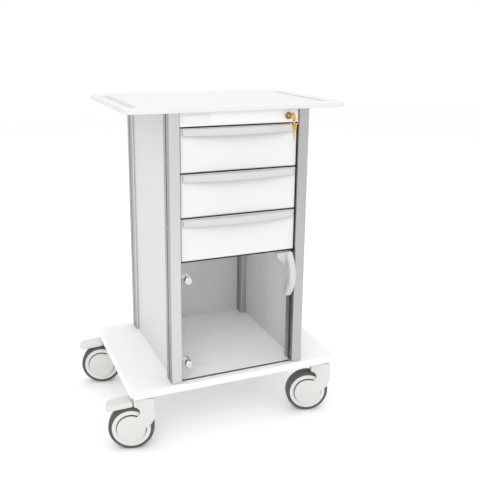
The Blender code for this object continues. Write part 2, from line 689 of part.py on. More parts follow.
def make_door():
    swing = empty("door_swing", (PIN_X, PIN_Y, 0))
    left = -FRONT_HALF - PIN_X
    right = FRONT_HALF - PIN_X
    front = FRONT_Y - PIN_Y
    door = link("door_panel", box_mesh((left, front, DOOR_BOTTOM),
                                       (right, front + DOOR_THICKNESS, DOOR_TOP)), CLEAR, swing)
    heights = (("upper", DOOR_TOP - HINGE_FROM_END), ("lower", DOOR_BOTTOM + HINGE_FROM_END))
    for name, height in heights:
        hole = rod_mesh(CUP_RADIUS + FIT, front - SPARE, front + DOOR_THICKNESS + SPARE)
        combine(door, add_tool("cup_hole_" + name, hole, swing, Matrix.Translation((0, 0, height))))
        make_hinge(name, height, swing, front)
    make_door_pull(swing, right - DOOR_PULL_EDGE, front)


def make_hinge(name, height, swing, front):
    """A round cap whose cup passes through the door and holds a pin, and the fixed arm on that pin."""
    axis = empty("hinge_cap_axis_" + name, (0, 0, height), swing)
    back = CUP_END
    cap_back = front - FIT
    cap_front = cap_back - CAP_HEIGHT
    cap = turn_profile("hinge_cap_" + name, [
        (0, back), (CUP_RADIUS, back), (CUP_RADIUS, cap_back), (CAP_RADIUS, cap_back),
        (CAP_RADIUS, cap_front + CAP_CHAMFER), (CAP_RADIUS - CAP_CHAMFER, cap_front), (0, cap_front)],
        CHROME, axis)
    slot_half = ARM_HEIGHT / 2 + EYE_GAP
    slot = box_mesh((-2 * CUP_RADIUS, -EYE_RADIUS - EYE_GAP, -slot_half),
                    (2 * CUP_RADIUS, 2 * CUP_RADIUS, slot_half))
    combine(cap, add_tool("eye_slot_" + name, slot, axis))
    pin = post_mesh(PIN_RADIUS, -slot_half - PIN_BITE, slot_half + PIN_BITE, 16)
    combine(cap, add_tool("hinge_pin_" + name, pin, axis), "UNION")
    make_hinge_arm(name, height)


def make_hinge_arm(name, height):
    """Bent arm from the post's inner face, round behind the door's edge, to the pin."""
    half = ARM_THICKNESS / 2
    slant = math.sqrt(0.5)
    knee = (ARM_REACH * slant, ARM_REACH * slant)
    foot_x = -OPENING_HALF + FIT - PIN_X
    bend = half * math.tan(math.radians(22.5))
    outer = [(half * slant, -half * slant), (knee[0] + half, knee[1] - bend),
             (knee[0] + half, ARM_BACK + half), (foot_x + ARM_THICKNESS, ARM_BACK + half),
             (foot_x + ARM_THICKNESS, ARM_BACK + ARM_FOOT), (foot_x, ARM_BACK + ARM_FOOT)]
    inner = [(foot_x, ARM_BACK - half), (knee[0] - half, ARM_BACK - half),
             (knee[0] - half, knee[1] + bend), (-half * slant, half * slant)]
    arm_axis = empty("hinge_arm_axis_" + name, (PIN_X, PIN_Y, height))
    bar = outline_mesh(outer + inner, -ARM_HEIGHT / 2, ARM_HEIGHT / 2)
    arm = link("hinge_arm_" + name, bar, CHROME, arm_axis)
    eye = post_mesh(EYE_RADIUS, -ARM_HEIGHT / 2, ARM_HEIGHT / 2)
    combine(arm, add_tool("arm_eye_" + name, eye, arm_axis), "UNION")
    bore = post_mesh(PIN_RADIUS + PIN_PLAY, -ARM_HEIGHT, ARM_HEIGHT, 16)
    combine(arm, add_tool("arm_bore_" + name, bore, arm_axis))


def pull_side(bow, seat, low, high):
    """Bowed side view as (distance from the door, height), the bow a parabola."""
    half = (high - low) / 2
    points = []
    for step in range(13):
        height = half * (1 - step / 6)
        points.append((seat + bow * (1 - (height / half) ** 2), (high + low) / 2 + height))
    return points


def make_door_pull(swing, right, front):
    """A bowed upright grip with solid feet, and a flange along the door's upper edge."""
    top = DOOR_TOP - DOOR_PULL_TOP
    low = top - DOOR_PULL_HEIGHT
    face = front - FIT
    outline = [(0, low), (0, top)] + pull_side(DOOR_PULL_BOW, DOOR_PULL_SEAT, low, top)
    grip = stand_across(outline, DOOR_PULL_WIDTH)
    left = right - DOOR_PULL_WIDTH
    place = Matrix.Translation((left, face, 0))
    pull = link("door_pull", grip, PULL_GREY, swing, place)
    round_edges(pull, DOOR_PULL_ROUND, 1)
    inner_low = low + DOOR_PULL_FOOT
    inner_high = top - DOOR_PULL_FOOT
    gap_bow = DOOR_PULL_BOW + DOOR_PULL_SEAT - DOOR_PULL_BAR - GRIP_ROOT
    gap = [(-SPARE, inner_low), (-SPARE, inner_high)] + pull_side(gap_bow, GRIP_ROOT, inner_low, inner_high)
    hollow = stand_across(gap, 2 * DOOR_PULL_WIDTH)
    combine(pull, add_tool("door_pull_gap", hollow, swing,
                           place @ Matrix.Translation((-DOOR_PULL_WIDTH / 2, 0, 0))))
    flange = box_mesh((right - FLANGE_LENGTH, face - FLANGE_THICKNESS, top - FLANGE_HEIGHT),
                      (right - FLANGE_INSET, face, top - FLANGE_DROP))
    combine(pull, add_tool("door_pull_flange", flange, swing), "UNION")


def stand_across(outline, width):
    """A side outline of (distance forward, height) extruded across X from 0 to width."""
    mesh = outline_mesh(outline, 0, width)
    stand = Matrix(((0, 0, 1, 0), (-1, 0, 0, 0), (0, 1, 0, 0), (0, 0, 0, 1)))
    mesh.transform(stand)
    shape = bmesh.new()
    shape.from_mesh(mesh)
    bmesh.ops.recalc_face_normals(shape, faces=shape.faces)
    shape.to_mesh(mesh)
    shape.free()
    return mesh


def make_catch():
    width, depth, height = CATCH_SIZE
    right = OPENING_HALF - CATCH_INSET
    start = FRONT_Y + DOOR_THICKNESS + CATCH_GAP
    top = SHELF_TOP - SHELF_THICKNESS - FIT
    link("door_catch", box_mesh((right - width, start, top - height), (right, start + depth, top)),
         BOX_PAINT)


# --- Casters ---

def arm_outline():
    """Side view of a fork arm about the axle: the round hub cover, swept up into the housing."""
    right = TRAIL + HOUSING_RADIUS
    left = TRAIL - HOUSING_RADIUS
    neck = HUB_COVER_RADIUS + NECK_RUN
    neck_turn = math.radians(NECK_ANGLE)
    points = arc(0, 0, HUB_COVER_RADIUS, NECK_ANGLE, 360 + HEEL_MEETS, 18)
    points += arc(right - HEEL_RADIUS, HEEL_HEIGHT, HEEL_RADIUS, -HEEL_TURN, 0, 4)
    points += [(right, ARM_TOP - ARM_CHAMFER), (right - ARM_CHAMFER, ARM_TOP)]
    points += [(left, ARM_TOP), (left, BRIDGE_BOTTOM + NECK_RISE)]
    points += [(neck * math.cos(neck_turn), neck * math.sin(neck_turn))]
    return points


def make_fork(name, swivel, braked):
    """One moulding: housing over the wheel, two arms, two hub covers and the axle between them."""
    centre = Matrix.Translation((-TRAIL, 0, -HOUSING_TOP))
    half = FORK_ARM_OUT
    housing = post_mesh(HOUSING_RADIUS, BRIDGE_BOTTOM, HOUSING_TOP, 24)
    housing.transform(Matrix.Translation((TRAIL, 0, 0)))
    fork = link("caster_fork_" + name, housing, CASTER_GREY, swivel, centre)
    for side, sign in SIDES:
        start, end = sorted((sign * FORK_ARM_IN, sign * half))
        arm = extrude_along_y(arm_outline(), start, end)
        combine(fork, add_tool(f"fork_arm_{name}_{side}", arm, swivel, centre), "UNION")
        start, end = sorted((sign * (WEB_HALF + HUB_COVER_GAP), sign * (FORK_ARM_IN + BOSS_BITE)))
        boss = rod_mesh(HUB_COVER_RADIUS - HUB_BOSS_STEP, start, end, 20)
        combine(fork, add_tool(f"hub_boss_{name}_{side}", boss, swivel, centre), "UNION")
    axle = rod_mesh(AXLE_RADIUS, -FORK_ARM_IN, FORK_ARM_IN, 16)
    combine(fork, add_tool("axle_" + name, axle, swivel, centre), "UNION")
    bore = post_mesh(SPIGOT_RADIUS + FIT, HOUSING_TOP - SPIGOT_DEPTH - FIT, HOUSING_TOP + SPARE, 16)
    bore.transform(Matrix.Translation((TRAIL, 0, 0)))
    combine(fork, add_tool("swivel_bore_" + name, bore, swivel, centre))
    if braked:
        add_pedal(name, swivel, fork)


def add_pedal(name, swivel, fork):
    """The brake pedal is a tongue over the tyre; its lug turns in a pocket in the housing."""
    side = -HOUSING_RADIUS
    pivot_x = side + PEDAL_PIVOT_IN
    pocket_depth = PEDAL_PIVOT_IN + PEDAL_LUG_RADIUS + PEDAL_POCKET_SPARE
    pocket_wide = PEDAL_LUG / 2 + SWIVEL_PLAY
    pocket = box_mesh((side - SPARE, -pocket_wide, -PEDAL_PIVOT_DOWN - PEDAL_POCKET_HALF),
                      (side + pocket_depth, pocket_wide, -PEDAL_PIVOT_DOWN + PEDAL_POCKET_HALF))
    combine(fork, add_tool("pedal_pocket_" + name, pocket, swivel))
    hinge = empty("brake_press_" + name, (pivot_x, 0, -PEDAL_PIVOT_DOWN), swivel)
    start = -PEDAL_PIVOT_IN - PEDAL_ROOT_GAP
    end = start - PEDAL_LENGTH
    half = PEDAL_WIDTH / 2
    turn_x = end + PEDAL_CORNER
    turn_y = half - PEDAL_CORNER
    plan = ([(start, half)] + arc(turn_x, turn_y, PEDAL_CORNER, 90, 180, 5)
            + arc(turn_x, -turn_y, PEDAL_CORNER, 180, 270, 5) + [(start, -half)])
    tongue = outline_mesh(plan, -PEDAL_THICKNESS / 2, PEDAL_THICKNESS / 2)
    tilt = Matrix.Rotation(-PEDAL_TILT, 4, "Y")
    pedal = link("brake_pedal_" + name, tongue, CASTER_GREY, hinge, tilt)
    round_edges(pedal, PEDAL_EDGE_ROUND)
    lug_points = arc(0, 0, PEDAL_LUG_RADIUS, -90, 90, 6)
    lug_end = start - PEDAL_LUG_LENGTH
    lug_points += [(lug_end, PEDAL_LUG_RADIUS), (lug_end, -PEDAL_LUG_RADIUS)]
    lug = extrude_along_y(lug_points, -PEDAL_LUG / 2, PEDAL_LUG / 2)
    combine(pedal, add_tool("pedal_lug_" + name, lug, hinge, tilt), "UNION")


def make_stem(name, x, y):
    """Fixed stem: a stud in the base, a collar against it and a spigot the fork turns on."""
    collar_bottom = BASE_UNDER - FIT - COLLAR_THICKNESS
    axis = empty("stem_axis_" + name, (x, y, 0))
    collar = post_mesh(COLLAR_RADIUS, collar_bottom, BASE_UNDER - FIT, 24)
    stem = link("caster_stem_" + name, collar, STEEL, axis)
    stud = post_mesh(STUD_RADIUS, BASE_UNDER - FIT - COLLAR_THICKNESS / 2, BASE_UNDER + STUD_DEPTH, 16)
    combine(stem, add_tool("stud_" + name, stud, axis), "UNION")
    spigot_bottom = HOUSING_TOP + WHEEL_RADIUS - SPIGOT_DEPTH + FIT
    spigot = post_mesh(SPIGOT_RADIUS, spigot_bottom, collar_bottom + COLLAR_THICKNESS / 2, 16)
    combine(stem, add_tool("spigot_" + name, spigot, axis), "UNION")


def make_wheel(name, swivel):
    spin = empty("wheel_spin_" + name, (-TRAIL, 0, -HOUSING_TOP), swivel)
    seat = WHEEL_RADIUS - TYRE_DEPTH
    bore = AXLE_RADIUS + SWIVEL_PLAY
    turn_profile("caster_wheel_" + name, [
        (bore, WEB_HALF), (RIM_INNER_RADIUS, WEB_HALF), (RIM_INNER_RADIUS, RIM_HALF),
        (seat - RIM_CHAMFER, RIM_HALF), (seat - FIT, RIM_HALF - RIM_CHAMFER),
        (seat - FIT, -RIM_HALF + RIM_CHAMFER), (seat - RIM_CHAMFER, -RIM_HALF), (RIM_INNER_RADIUS, -RIM_HALF),
        (RIM_INNER_RADIUS, -WEB_HALF), (bore, -WEB_HALF)], RIM_GREY, spin, closed=True)
    shoulder = TYRE_SHOULDER
    half = [(seat, TYRE_HALF), (WHEEL_RADIUS - shoulder, TYRE_HALF),
            (WHEEL_RADIUS - shoulder * 0.3, TYRE_HALF - shoulder * 0.6),
            (WHEEL_RADIUS, TYRE_HALF - shoulder * 1.6)]
    mirrored = [(radius, -along) for radius, along in reversed(half)]
    turn_profile("caster_tyre_" + name, half + mirrored, TYRE_GREY, spin, 32, closed=True)


def make_casters():
    for end, sign_y in (("front", -1), ("back", 1)):
        for side, sign_x in SIDES:
            name = f"{end}_{side}"
            x = sign_x * SWIVEL_X
            y = sign_y * SWIVEL_Y
            make_stem(name, x, y)
            swivel = empty("swivel_" + name, (x, y, WHEEL_RADIUS + HOUSING_TOP), turn_z=-TRAIL_ANGLE)
            make_fork(name, swivel, side == "left")
            make_wheel(name, swivel)


make_worktop()
make_base()
make_posts()
make_panels()
make_shelf()
make_fascia()
make_lock()
for number, drawer in enumerate(DRAWER_NAMES):
    make_drawer(number, drawer)
for side_name, side_sign in SIDES:
    make_slide_bracket(side_name, side_sign)
make_door()
make_catch()
make_casters()
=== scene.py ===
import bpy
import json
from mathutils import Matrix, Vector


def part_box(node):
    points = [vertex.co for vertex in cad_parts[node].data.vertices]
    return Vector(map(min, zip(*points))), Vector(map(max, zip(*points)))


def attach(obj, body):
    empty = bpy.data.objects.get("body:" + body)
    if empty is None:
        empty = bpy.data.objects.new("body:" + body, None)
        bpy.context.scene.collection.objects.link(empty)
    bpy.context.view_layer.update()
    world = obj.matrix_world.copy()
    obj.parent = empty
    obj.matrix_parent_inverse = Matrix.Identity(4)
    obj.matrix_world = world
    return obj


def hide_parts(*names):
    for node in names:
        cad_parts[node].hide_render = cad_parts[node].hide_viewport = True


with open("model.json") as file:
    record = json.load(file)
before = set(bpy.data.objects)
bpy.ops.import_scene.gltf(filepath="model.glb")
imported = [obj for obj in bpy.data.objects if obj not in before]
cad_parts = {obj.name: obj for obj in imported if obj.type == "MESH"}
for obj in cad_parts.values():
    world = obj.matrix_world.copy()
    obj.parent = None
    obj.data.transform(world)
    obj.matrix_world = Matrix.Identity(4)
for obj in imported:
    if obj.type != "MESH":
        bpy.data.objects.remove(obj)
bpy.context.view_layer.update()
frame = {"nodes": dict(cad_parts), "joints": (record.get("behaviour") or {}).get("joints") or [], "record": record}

import json
import math

import bmesh
import bpy
import numpy as np
from mathutils import Matrix, Vector
from mathutils.geometry import tessellate_polygon

JOINTS = {joint["name"]: joint for joint in frame["joints"]}

# %% [markdown]
# # A mobile bedside cart
#
# The frame above is the working model: plain solids in their real places. This lesson gives each of
# them its finished surface. The cart is a white worktop and a white base plate, tied by four
# aluminium posts; three drawers and a clear door sit between the posts, and the base rolls on four
# grey casters. Everything is in metres, +Z is up and the drawers face -Y. Every place is read from the
# frame where it can be, so a piece lands where the working model says.

# %% Where things are
def span(node):
    """The middle and the size of a node's box, as two arrays."""
    low, high = (np.array(corner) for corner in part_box(node))
    return (low + high) / 2, high - low


SIDES = (("left", -1), ("right", 1))
ENDS = (("front", -1), ("back", 1))
DRAWERS = ("top", "middle", "bottom")
MIDDLE = span("worktop")[0]
UPRIGHT = Matrix.Rotation(math.pi / 2, 4, "X")    # an outline's Y becomes Z and its top faces -Y
print("the worktop's middle is at", MIDDLE.round(4))

# %% [markdown]
# ## Camera
#
# The cart is seen from a little above and a little to the left, so that the front, one
# side and the top all show. The camera's axes are built from three angles: a turn to the right, a
# tilt down and a very small roll. Writing the matrix column by column keeps the roll honest, where
# a chain of Euler angles would mix it with the others.

# %% The camera
CAMERA_PLACE = (-0.6740, -1.7885, 1.0980)         # from the middle of the cart, on the floor
CAMERA_TURN = math.radians(22.2)
CAMERA_TILT = math.radians(14.1)
CAMERA_ROLL = math.radians(0.44)
CAMERA_LENS = 50.55
CAMERA_SHIFT = (0.0208, -0.0790)


def camera_matrix(place, turn, tilt, roll):
    """Right, up and back as columns: ahead is turned from +Y and tilted down, and up is rolled about it."""
    level_share = math.cos(tilt)
    ahead = np.array([math.sin(turn) * level_share, math.cos(turn) * level_share, -math.sin(tilt)])
    level = np.array([math.cos(turn), -math.sin(turn), 0.0])
    above = np.cross(level, ahead)
    right = level * math.cos(roll) + above * math.sin(roll)
    up = above * math.cos(roll) - level * math.sin(roll)
    matrix = np.eye(4)
    matrix[:3, 0], matrix[:3, 1], matrix[:3, 2], matrix[:3, 3] = right, up, -ahead, place
    return Matrix(matrix.tolist())


camera_data = bpy.data.cameras.new("cart_camera")
camera_data.lens = CAMERA_LENS
camera_data.shift_x, camera_data.shift_y = CAMERA_SHIFT
camera = bpy.data.objects.new("cart_camera", camera_data)
bpy.context.scene.collection.objects.link(camera)
camera.matrix_world = camera_matrix(
    (MIDDLE[0] + CAMERA_PLACE[0], MIDDLE[1] + CAMERA_PLACE[1], CAMERA_PLACE[2]),
    CAMERA_TURN, CAMERA_TILT, CAMERA_ROLL)
bpy.context.scene.camera = camera
print("camera at", [round(v, 3) for v in camera.matrix_world.translation])

# %% [markdown]
# ## Surfaces from arrays
#
# Nearly every moulded or machined part is one of three surfaces. A plate is an outline carried up
# through a profile of insets, which gives its rounded edges. A turned part is a profile carried round
# an axis. A bowed part is a section carried along a line. All three are the same thing to the
# computer: a stack of closed rings with a skin between them. So one function skins rings, and the
# others only work out where the rings go, as whole arrays.

# %% Outlines
def arc(middle, radius, start, end, steps):
    """Points at middle plus radius times (cosine, sine), from one angle in degrees to the other."""
    angle = np.radians(np.linspace(start, end, steps + 1))
    return np.stack([middle[0] + radius * np.cos(angle), middle[1] + radius * np.sin(angle)], 1)


def round_box(width, height, radius, steps=8):
    """A rectangle about the origin whose corners are quarter circles, anticlockwise."""
    x, y = width / 2 - radius, height / 2 - radius
    corners = ((x, y, 0), (-x, y, 90), (-x, -y, 180), (x, -y, 270))
    return np.concatenate([arc((cx, cy), radius, turn, turn + 90, steps) for cx, cy, turn in corners])


def inset(outline, amount):
    """Each point of a closed outline moved inwards, along the mean of its two sides' inward normals."""
    ahead = np.roll(outline, -1, 0) - outline
    behind = outline - np.roll(outline, 1, 0)
    normals = []
    for side in (behind, ahead):
        side = side / np.linalg.norm(side, axis=1, keepdims=True)
        normals.append(np.stack([-side[:, 1], side[:, 0]], 1))
    spread = 1 + (normals[0] * normals[1]).sum(1, keepdims=True)
    return outline + amount * (normals[0] + normals[1]) / np.maximum(spread, 0.3)


def round_edge(bottom, top, low, high, steps=5):
    """A plate's edge as (inset, height): a quarter circle at each end, of radius low and high."""
    turn = np.linspace(0, math.pi / 2, steps + 1)
    foot = np.stack([low * (1 - np.sin(turn)), bottom + low * (1 - np.cos(turn))], 1)
    head = np.stack([high * (1 - np.cos(turn)), top - high * (1 - np.sin(turn))], 1)
    return np.concatenate([foot, head])


print("a round box has", len(round_box(2, 1, 0.1)), "points")

# %% Skins
def lift(outline, height):
    """A flat outline as points at one height."""
    return np.column_stack([outline, np.full(len(outline), height)])


def skin(rings, caps=True):
    """Quads between each ring and the next; caps close the first and the last ring."""
    rings = np.asarray(rings, float)
    count, around = rings.shape[:2]
    level, step = np.meshgrid(np.arange(count - 1), np.arange(around), indexing="ij")
    first = level * around + step
    second = level * around + (step + 1) % around
    faces = np.stack([first, second, second + around, first + around], -1).reshape(-1, 4).tolist()
    if caps:
        faces += [list(range(around)), list(range((count - 1) * around, count * around))]
    return rings.reshape(-1, 3), faces


def join(*surfaces):
    """Several surfaces as one, with their faces renumbered."""
    vertices, faces, start = [], [], 0
    for points, polygons in surfaces:
        vertices.append(points)
        faces += [[index + start for index in polygon] for polygon in polygons]
        start += len(points)
    return np.concatenate(vertices), faces


def flat(outer, holes):
    """Triangles that fill a flat ring of points, less its holes."""
    loops = [[Vector(point) for point in loop] for loop in (outer, *holes)]
    return np.concatenate([outer, *holes]), [list(face) for face in tessellate_polygon(loops)]


def plate(outline, edge, holes=()):
    """An outline carried through an edge profile of (inset, height), with holes that do the same."""
    outer = [lift(inset(outline, depth), height) for depth, height in edge]
    parts = [skin(outer, caps=False)]
    inner = []
    for hole, lip in holes:
        rings = [lift(inset(hole, -depth), height) for depth, height in lip]
        inner.append(rings)
        parts.append(skin(rings, caps=False))
    parts.append(flat(outer[0], [rings[0] for rings in inner]))
    parts.append(flat(outer[-1], [rings[-1] for rings in inner]))
    return join(*parts)


def turned(profile, sides=64, closed=True):
    """A profile of (radius, height) carried round Z; closed joins its last point to its first."""
    profile = np.asarray(profile, float)
    if closed:
        profile = np.concatenate([profile, profile[:1]])
    angle = np.arange(sides) * 2 * math.pi / sides
    rings = np.empty((len(profile), sides, 3))
    rings[:, :, 0] = profile[:, :1] * np.cos(angle)
    rings[:, :, 1] = profile[:, :1] * np.sin(angle)
    rings[:, :, 2] = profile[:, 1:]
    return skin(rings, caps=False)


def tube(path, radius, sides=12, up=(0, 0, 1)):
    """A circle carried along a path, square to it at each point, with flat ends."""
    path = np.asarray(path, float)
    ahead = np.gradient(path, axis=0)
    ahead /= np.linalg.norm(ahead, axis=1, keepdims=True)
    across = np.cross(ahead, up)
    across /= np.linalg.norm(across, axis=1, keepdims=True)
    over = np.cross(across, ahead)
    angle = np.arange(sides) * 2 * math.pi / sides
    rings = (path[:, None] + radius * (across[:, None] * np.cos(angle)[None, :, None]
                                       + over[:, None] * np.sin(angle)[None, :, None]))
    return skin(rings)


def moved(surface, matrix):
    """A surface through a 4 by 4 matrix."""
    points, faces = surface
    turn = np.array(matrix)
    return points @ turn[:3, :3].T + turn[:3, 3], faces


def shift(x, y, z):
    return Matrix.Translation((x, y, z))


print("surface helpers are ready")

# %% [markdown]
# ## Finishes
#
# New medical furniture is clean, so its finishes are quiet: moulded plastic with a fine grain and
# a faint unevenness of tone, anodised aluminium with lines along its length, a plated slide, a
# polished hinge cap, a dull rubber tyre. Three effects are shared and made once as node groups:
# a moulded surface, drawn lines, and settled dust on what faces up. Each group gives out only
# values that change over the surface; the shader stays in the material, where every constant sits
# on its own socket.

# %% Node groups
def new_group(name, inputs, outputs):
    """An empty shader node group with named sockets, and its two end nodes."""
    group = bpy.data.node_groups.new(name, "ShaderNodeTree")
    for socket, kind, value in inputs:
        made = group.interface.new_socket(socket, in_out="INPUT", socket_type=kind)
        made.default_value = value
    for socket, kind in outputs:
        group.interface.new_socket(socket, in_out="OUTPUT", socket_type=kind)
    return group, group.nodes.new("NodeGroupInput"), group.nodes.new("NodeGroupOutput")


def add_math(tree, operation, first, second):
    """A Math node; each operand is a socket or a number."""
    node = tree.nodes.new("ShaderNodeMath")
    node.operation = operation
    for index, value in enumerate((first, second)):
        if isinstance(value, bpy.types.NodeSocket):
            tree.links.new(value, node.inputs[index])
        else:
            node.inputs[index].default_value = value
    return node.outputs[0]


def add_noise(tree, vector, scale, detail=3.0):
    """A Noise Texture read on a vector; the scale is a socket or a number."""
    node = tree.nodes.new("ShaderNodeTexNoise")
    tree.links.new(vector, node.inputs["Vector"])
    if isinstance(scale, bpy.types.NodeSocket):
        tree.links.new(scale, node.inputs["Scale"])
    else:
        node.inputs["Scale"].default_value = scale
    node.inputs["Detail"].default_value = detail
    return node.outputs["Fac"]


def shaded(tree, color, amount):
    """A colour made darker by amount, which is a socket: the colour times (1 - amount)."""
    mix = tree.nodes.new("ShaderNodeMix")
    mix.data_type = "RGBA"
    mix.blend_type = "MIX"
    tree.links.new(amount, mix.inputs[0])
    tree.links.new(color, mix.inputs[6])
    mix.inputs[7].default_value = (0.16, 0.155, 0.15, 1)
    return mix.outputs[2]


def moulded_group():
    """Moulded plastic: the tone drifts with a wide noise, and a fine noise is the tool's grain."""
    group, start, end = new_group("moulded_surface", [
        ("Color", "NodeSocketColor", (0.8, 0.8, 0.8, 1)), ("Drift", "NodeSocketFloat", 0.03),
        ("Grain Scale", "NodeSocketFloat", 900), ("Roughness", "NodeSocketFloat", 0.4)],
        [("Color", "NodeSocketColor"), ("Roughness", "NodeSocketFloat"), ("Height", "NodeSocketFloat")])
    place = group.nodes.new("ShaderNodeTexCoord").outputs["Object"]
    wide = add_noise(group, place, 7.0)
    smears = add_noise(group, place, 38.0, 5.0)
    grain = add_noise(group, place, start.outputs["Grain Scale"], 2.0)
    drift = add_math(group, "MULTIPLY", wide, start.outputs["Drift"])
    rub = add_math(group, "MULTIPLY_ADD", smears, 0.10)
    group.links.new(start.outputs["Roughness"], rub.node.inputs[2])
    settle = add_math(group, "SUBTRACT", rub, 0.05)
    group.links.new(shaded(group, start.outputs["Color"], drift), end.inputs["Color"])
    group.links.new(settle, end.inputs["Roughness"])
    group.links.new(grain, end.inputs["Height"])
    return group


def drawn_group():
    """Drawn metal: a noise squeezed across the lines and stretched along them."""
    group, start, end = new_group("drawn_lines", [
        ("Squeeze", "NodeSocketVector", (900, 900, 6)), ("Roughness", "NodeSocketFloat", 0.35)],
        [("Roughness", "NodeSocketFloat"), ("Height", "NodeSocketFloat")])
    place = group.nodes.new("ShaderNodeTexCoord").outputs["Object"]
    stretch = group.nodes.new("ShaderNodeVectorMath")
    stretch.operation = "MULTIPLY"
    group.links.new(place, stretch.inputs[0])
    group.links.new(start.outputs["Squeeze"], stretch.inputs[1])
    lines = add_noise(group, stretch.outputs[0], 1.0, 4.0)
    rub = add_math(group, "MULTIPLY_ADD", lines, 0.16)
    group.links.new(start.outputs["Roughness"], rub.node.inputs[2])
    settle = add_math(group, "SUBTRACT", rub, 0.08)
    group.links.new(settle, end.inputs["Roughness"])
    group.links.new(lines, end.inputs["Height"])
    return group


def dust_group():
    """Settled dust: a soft noise, kept only where the surface faces up."""
    group, start, end = new_group("settled_dust", [
        ("Color", "NodeSocketColor", (0.8, 0.8, 0.8, 1)), ("Amount", "NodeSocketFloat", 0.04)],
        [("Color", "NodeSocketColor")])
    facing = group.nodes.new("ShaderNodeSeparateXYZ")
    group.links.new(group.nodes.new("ShaderNodeNewGeometry").outputs["Normal"], facing.inputs[0])
    place = group.nodes.new("ShaderNodeTexCoord").outputs["Object"]
    clouds = add_noise(group, place, 14.0, 6.0)
    upward = add_math(group, "MAXIMUM", facing.outputs["Z"], 0.0)
    mask = add_math(group, "MULTIPLY", upward, clouds)
    share = add_math(group, "MULTIPLY", mask, start.outputs["Amount"])
    group.links.new(shaded(group, start.outputs["Color"], share), end.inputs["Color"])
    return group


MOULDED, DRAWN, DUST = moulded_group(), drawn_group(), dust_group()
print("node groups:", [group.name for group in (MOULDED, DRAWN, DUST)])

# %% Material makers
def new_shader(name, roughness, metallic=0.0, **sockets):
    """A material with one Principled shader; constants go straight onto its sockets."""
    material = bpy.data.materials.new(name)
    material.use_nodes = True
    shader = material.node_tree.nodes["Principled BSDF"]
    shader.inputs["Roughness"].default_value = roughness
    shader.inputs["Metallic"].default_value = metallic
    for socket, value in sockets.items():
        shader.inputs[socket.replace("_", " ")].default_value = value
    return material, material.node_tree, shader


def add_bump(tree, shader, height, strength, distance):
    bump = tree.nodes.new("ShaderNodeBump")
    bump.inputs["Strength"].default_value = strength
    bump.inputs["Distance"].default_value = distance
    tree.links.new(height, bump.inputs["Height"])
    tree.links.new(bump.outputs["Normal"], shader.inputs["Normal"])


def use_group(tree, group, **values):
    node = tree.nodes.new("ShaderNodeGroup")
    node.node_tree = group
    for socket, value in values.items():
        node.inputs[socket.replace("_", " ")].default_value = value
    return node


def plastic(name, color, roughness, grain_scale=900, grain=0.25, drift=0.04, dust=0.0, coat=0.0):
    """Moulded plastic with grain, drift of tone and, where asked, dust on top."""
    material, tree, shader = new_shader(name, roughness, Coat_Weight=coat, Coat_Roughness=0.08)
    surface = use_group(tree, MOULDED, Color=(*color, 1), Drift=drift, Grain_Scale=grain_scale,
                        Roughness=roughness)
    tone = surface.outputs["Color"]
    if dust:
        settled = use_group(tree, DUST, Amount=dust)
        tree.links.new(tone, settled.inputs["Color"])
        tone = settled.outputs["Color"]
    tree.links.new(tone, shader.inputs["Base Color"])
    tree.links.new(surface.outputs["Roughness"], shader.inputs["Roughness"])
    add_bump(tree, shader, surface.outputs["Height"], grain, 0.00012)
    return material


def metal(name, color, roughness, squeeze=(900, 900, 6), lines=0.12, side=None):
    """Metal with drawn or rolled lines, packed by squeeze along X, Y and Z; side is a darker tone painted on the
    faces that face along X, as painted shade.
    """
    material, tree, shader = new_shader(name, roughness, 1.0, Base_Color=(*color, 1))
    # Painted shade: faces turned along X get the darker side tone, mixed in by the fourth power of the normal's X.
    if side:
        facing = tree.nodes.new("ShaderNodeSeparateXYZ")
        tree.links.new(tree.nodes.new("ShaderNodeNewGeometry").outputs["True Normal"], facing.inputs[0])
        across = add_math(tree, "ABSOLUTE", facing.outputs["X"], 0.0)
        mix = tree.nodes.new("ShaderNodeMix")
        mix.data_type = "RGBA"
        tree.links.new(add_math(tree, "POWER", across, 4.0), mix.inputs[0])
        mix.inputs[6].default_value = (*color, 1)
        mix.inputs[7].default_value = (*side, 1)
        tree.links.new(mix.outputs[2], shader.inputs["Base Color"])
    surface = use_group(tree, DRAWN, Squeeze=squeeze, Roughness=roughness)
    tree.links.new(surface.outputs["Roughness"], shader.inputs["Roughness"])
    add_bump(tree, shader, surface.outputs["Height"], lines, 0.00006)
    return material


def clear_sheet(name):
    """Clear acrylic: nearly all light goes straight through, and the rest mirrors the room."""
    material, tree, shader = new_shader(name, 0.03, IOR=1.49, Transmission_Weight=1.0, Alpha=0.08,
                                        Base_Color=(0.93, 0.95, 0.95, 1))
    surface = use_group(tree, MOULDED, Grain_Scale=60.0, Roughness=0.035)
    add_bump(tree, shader, surface.outputs["Height"], 0.02, 0.0002)
    return material


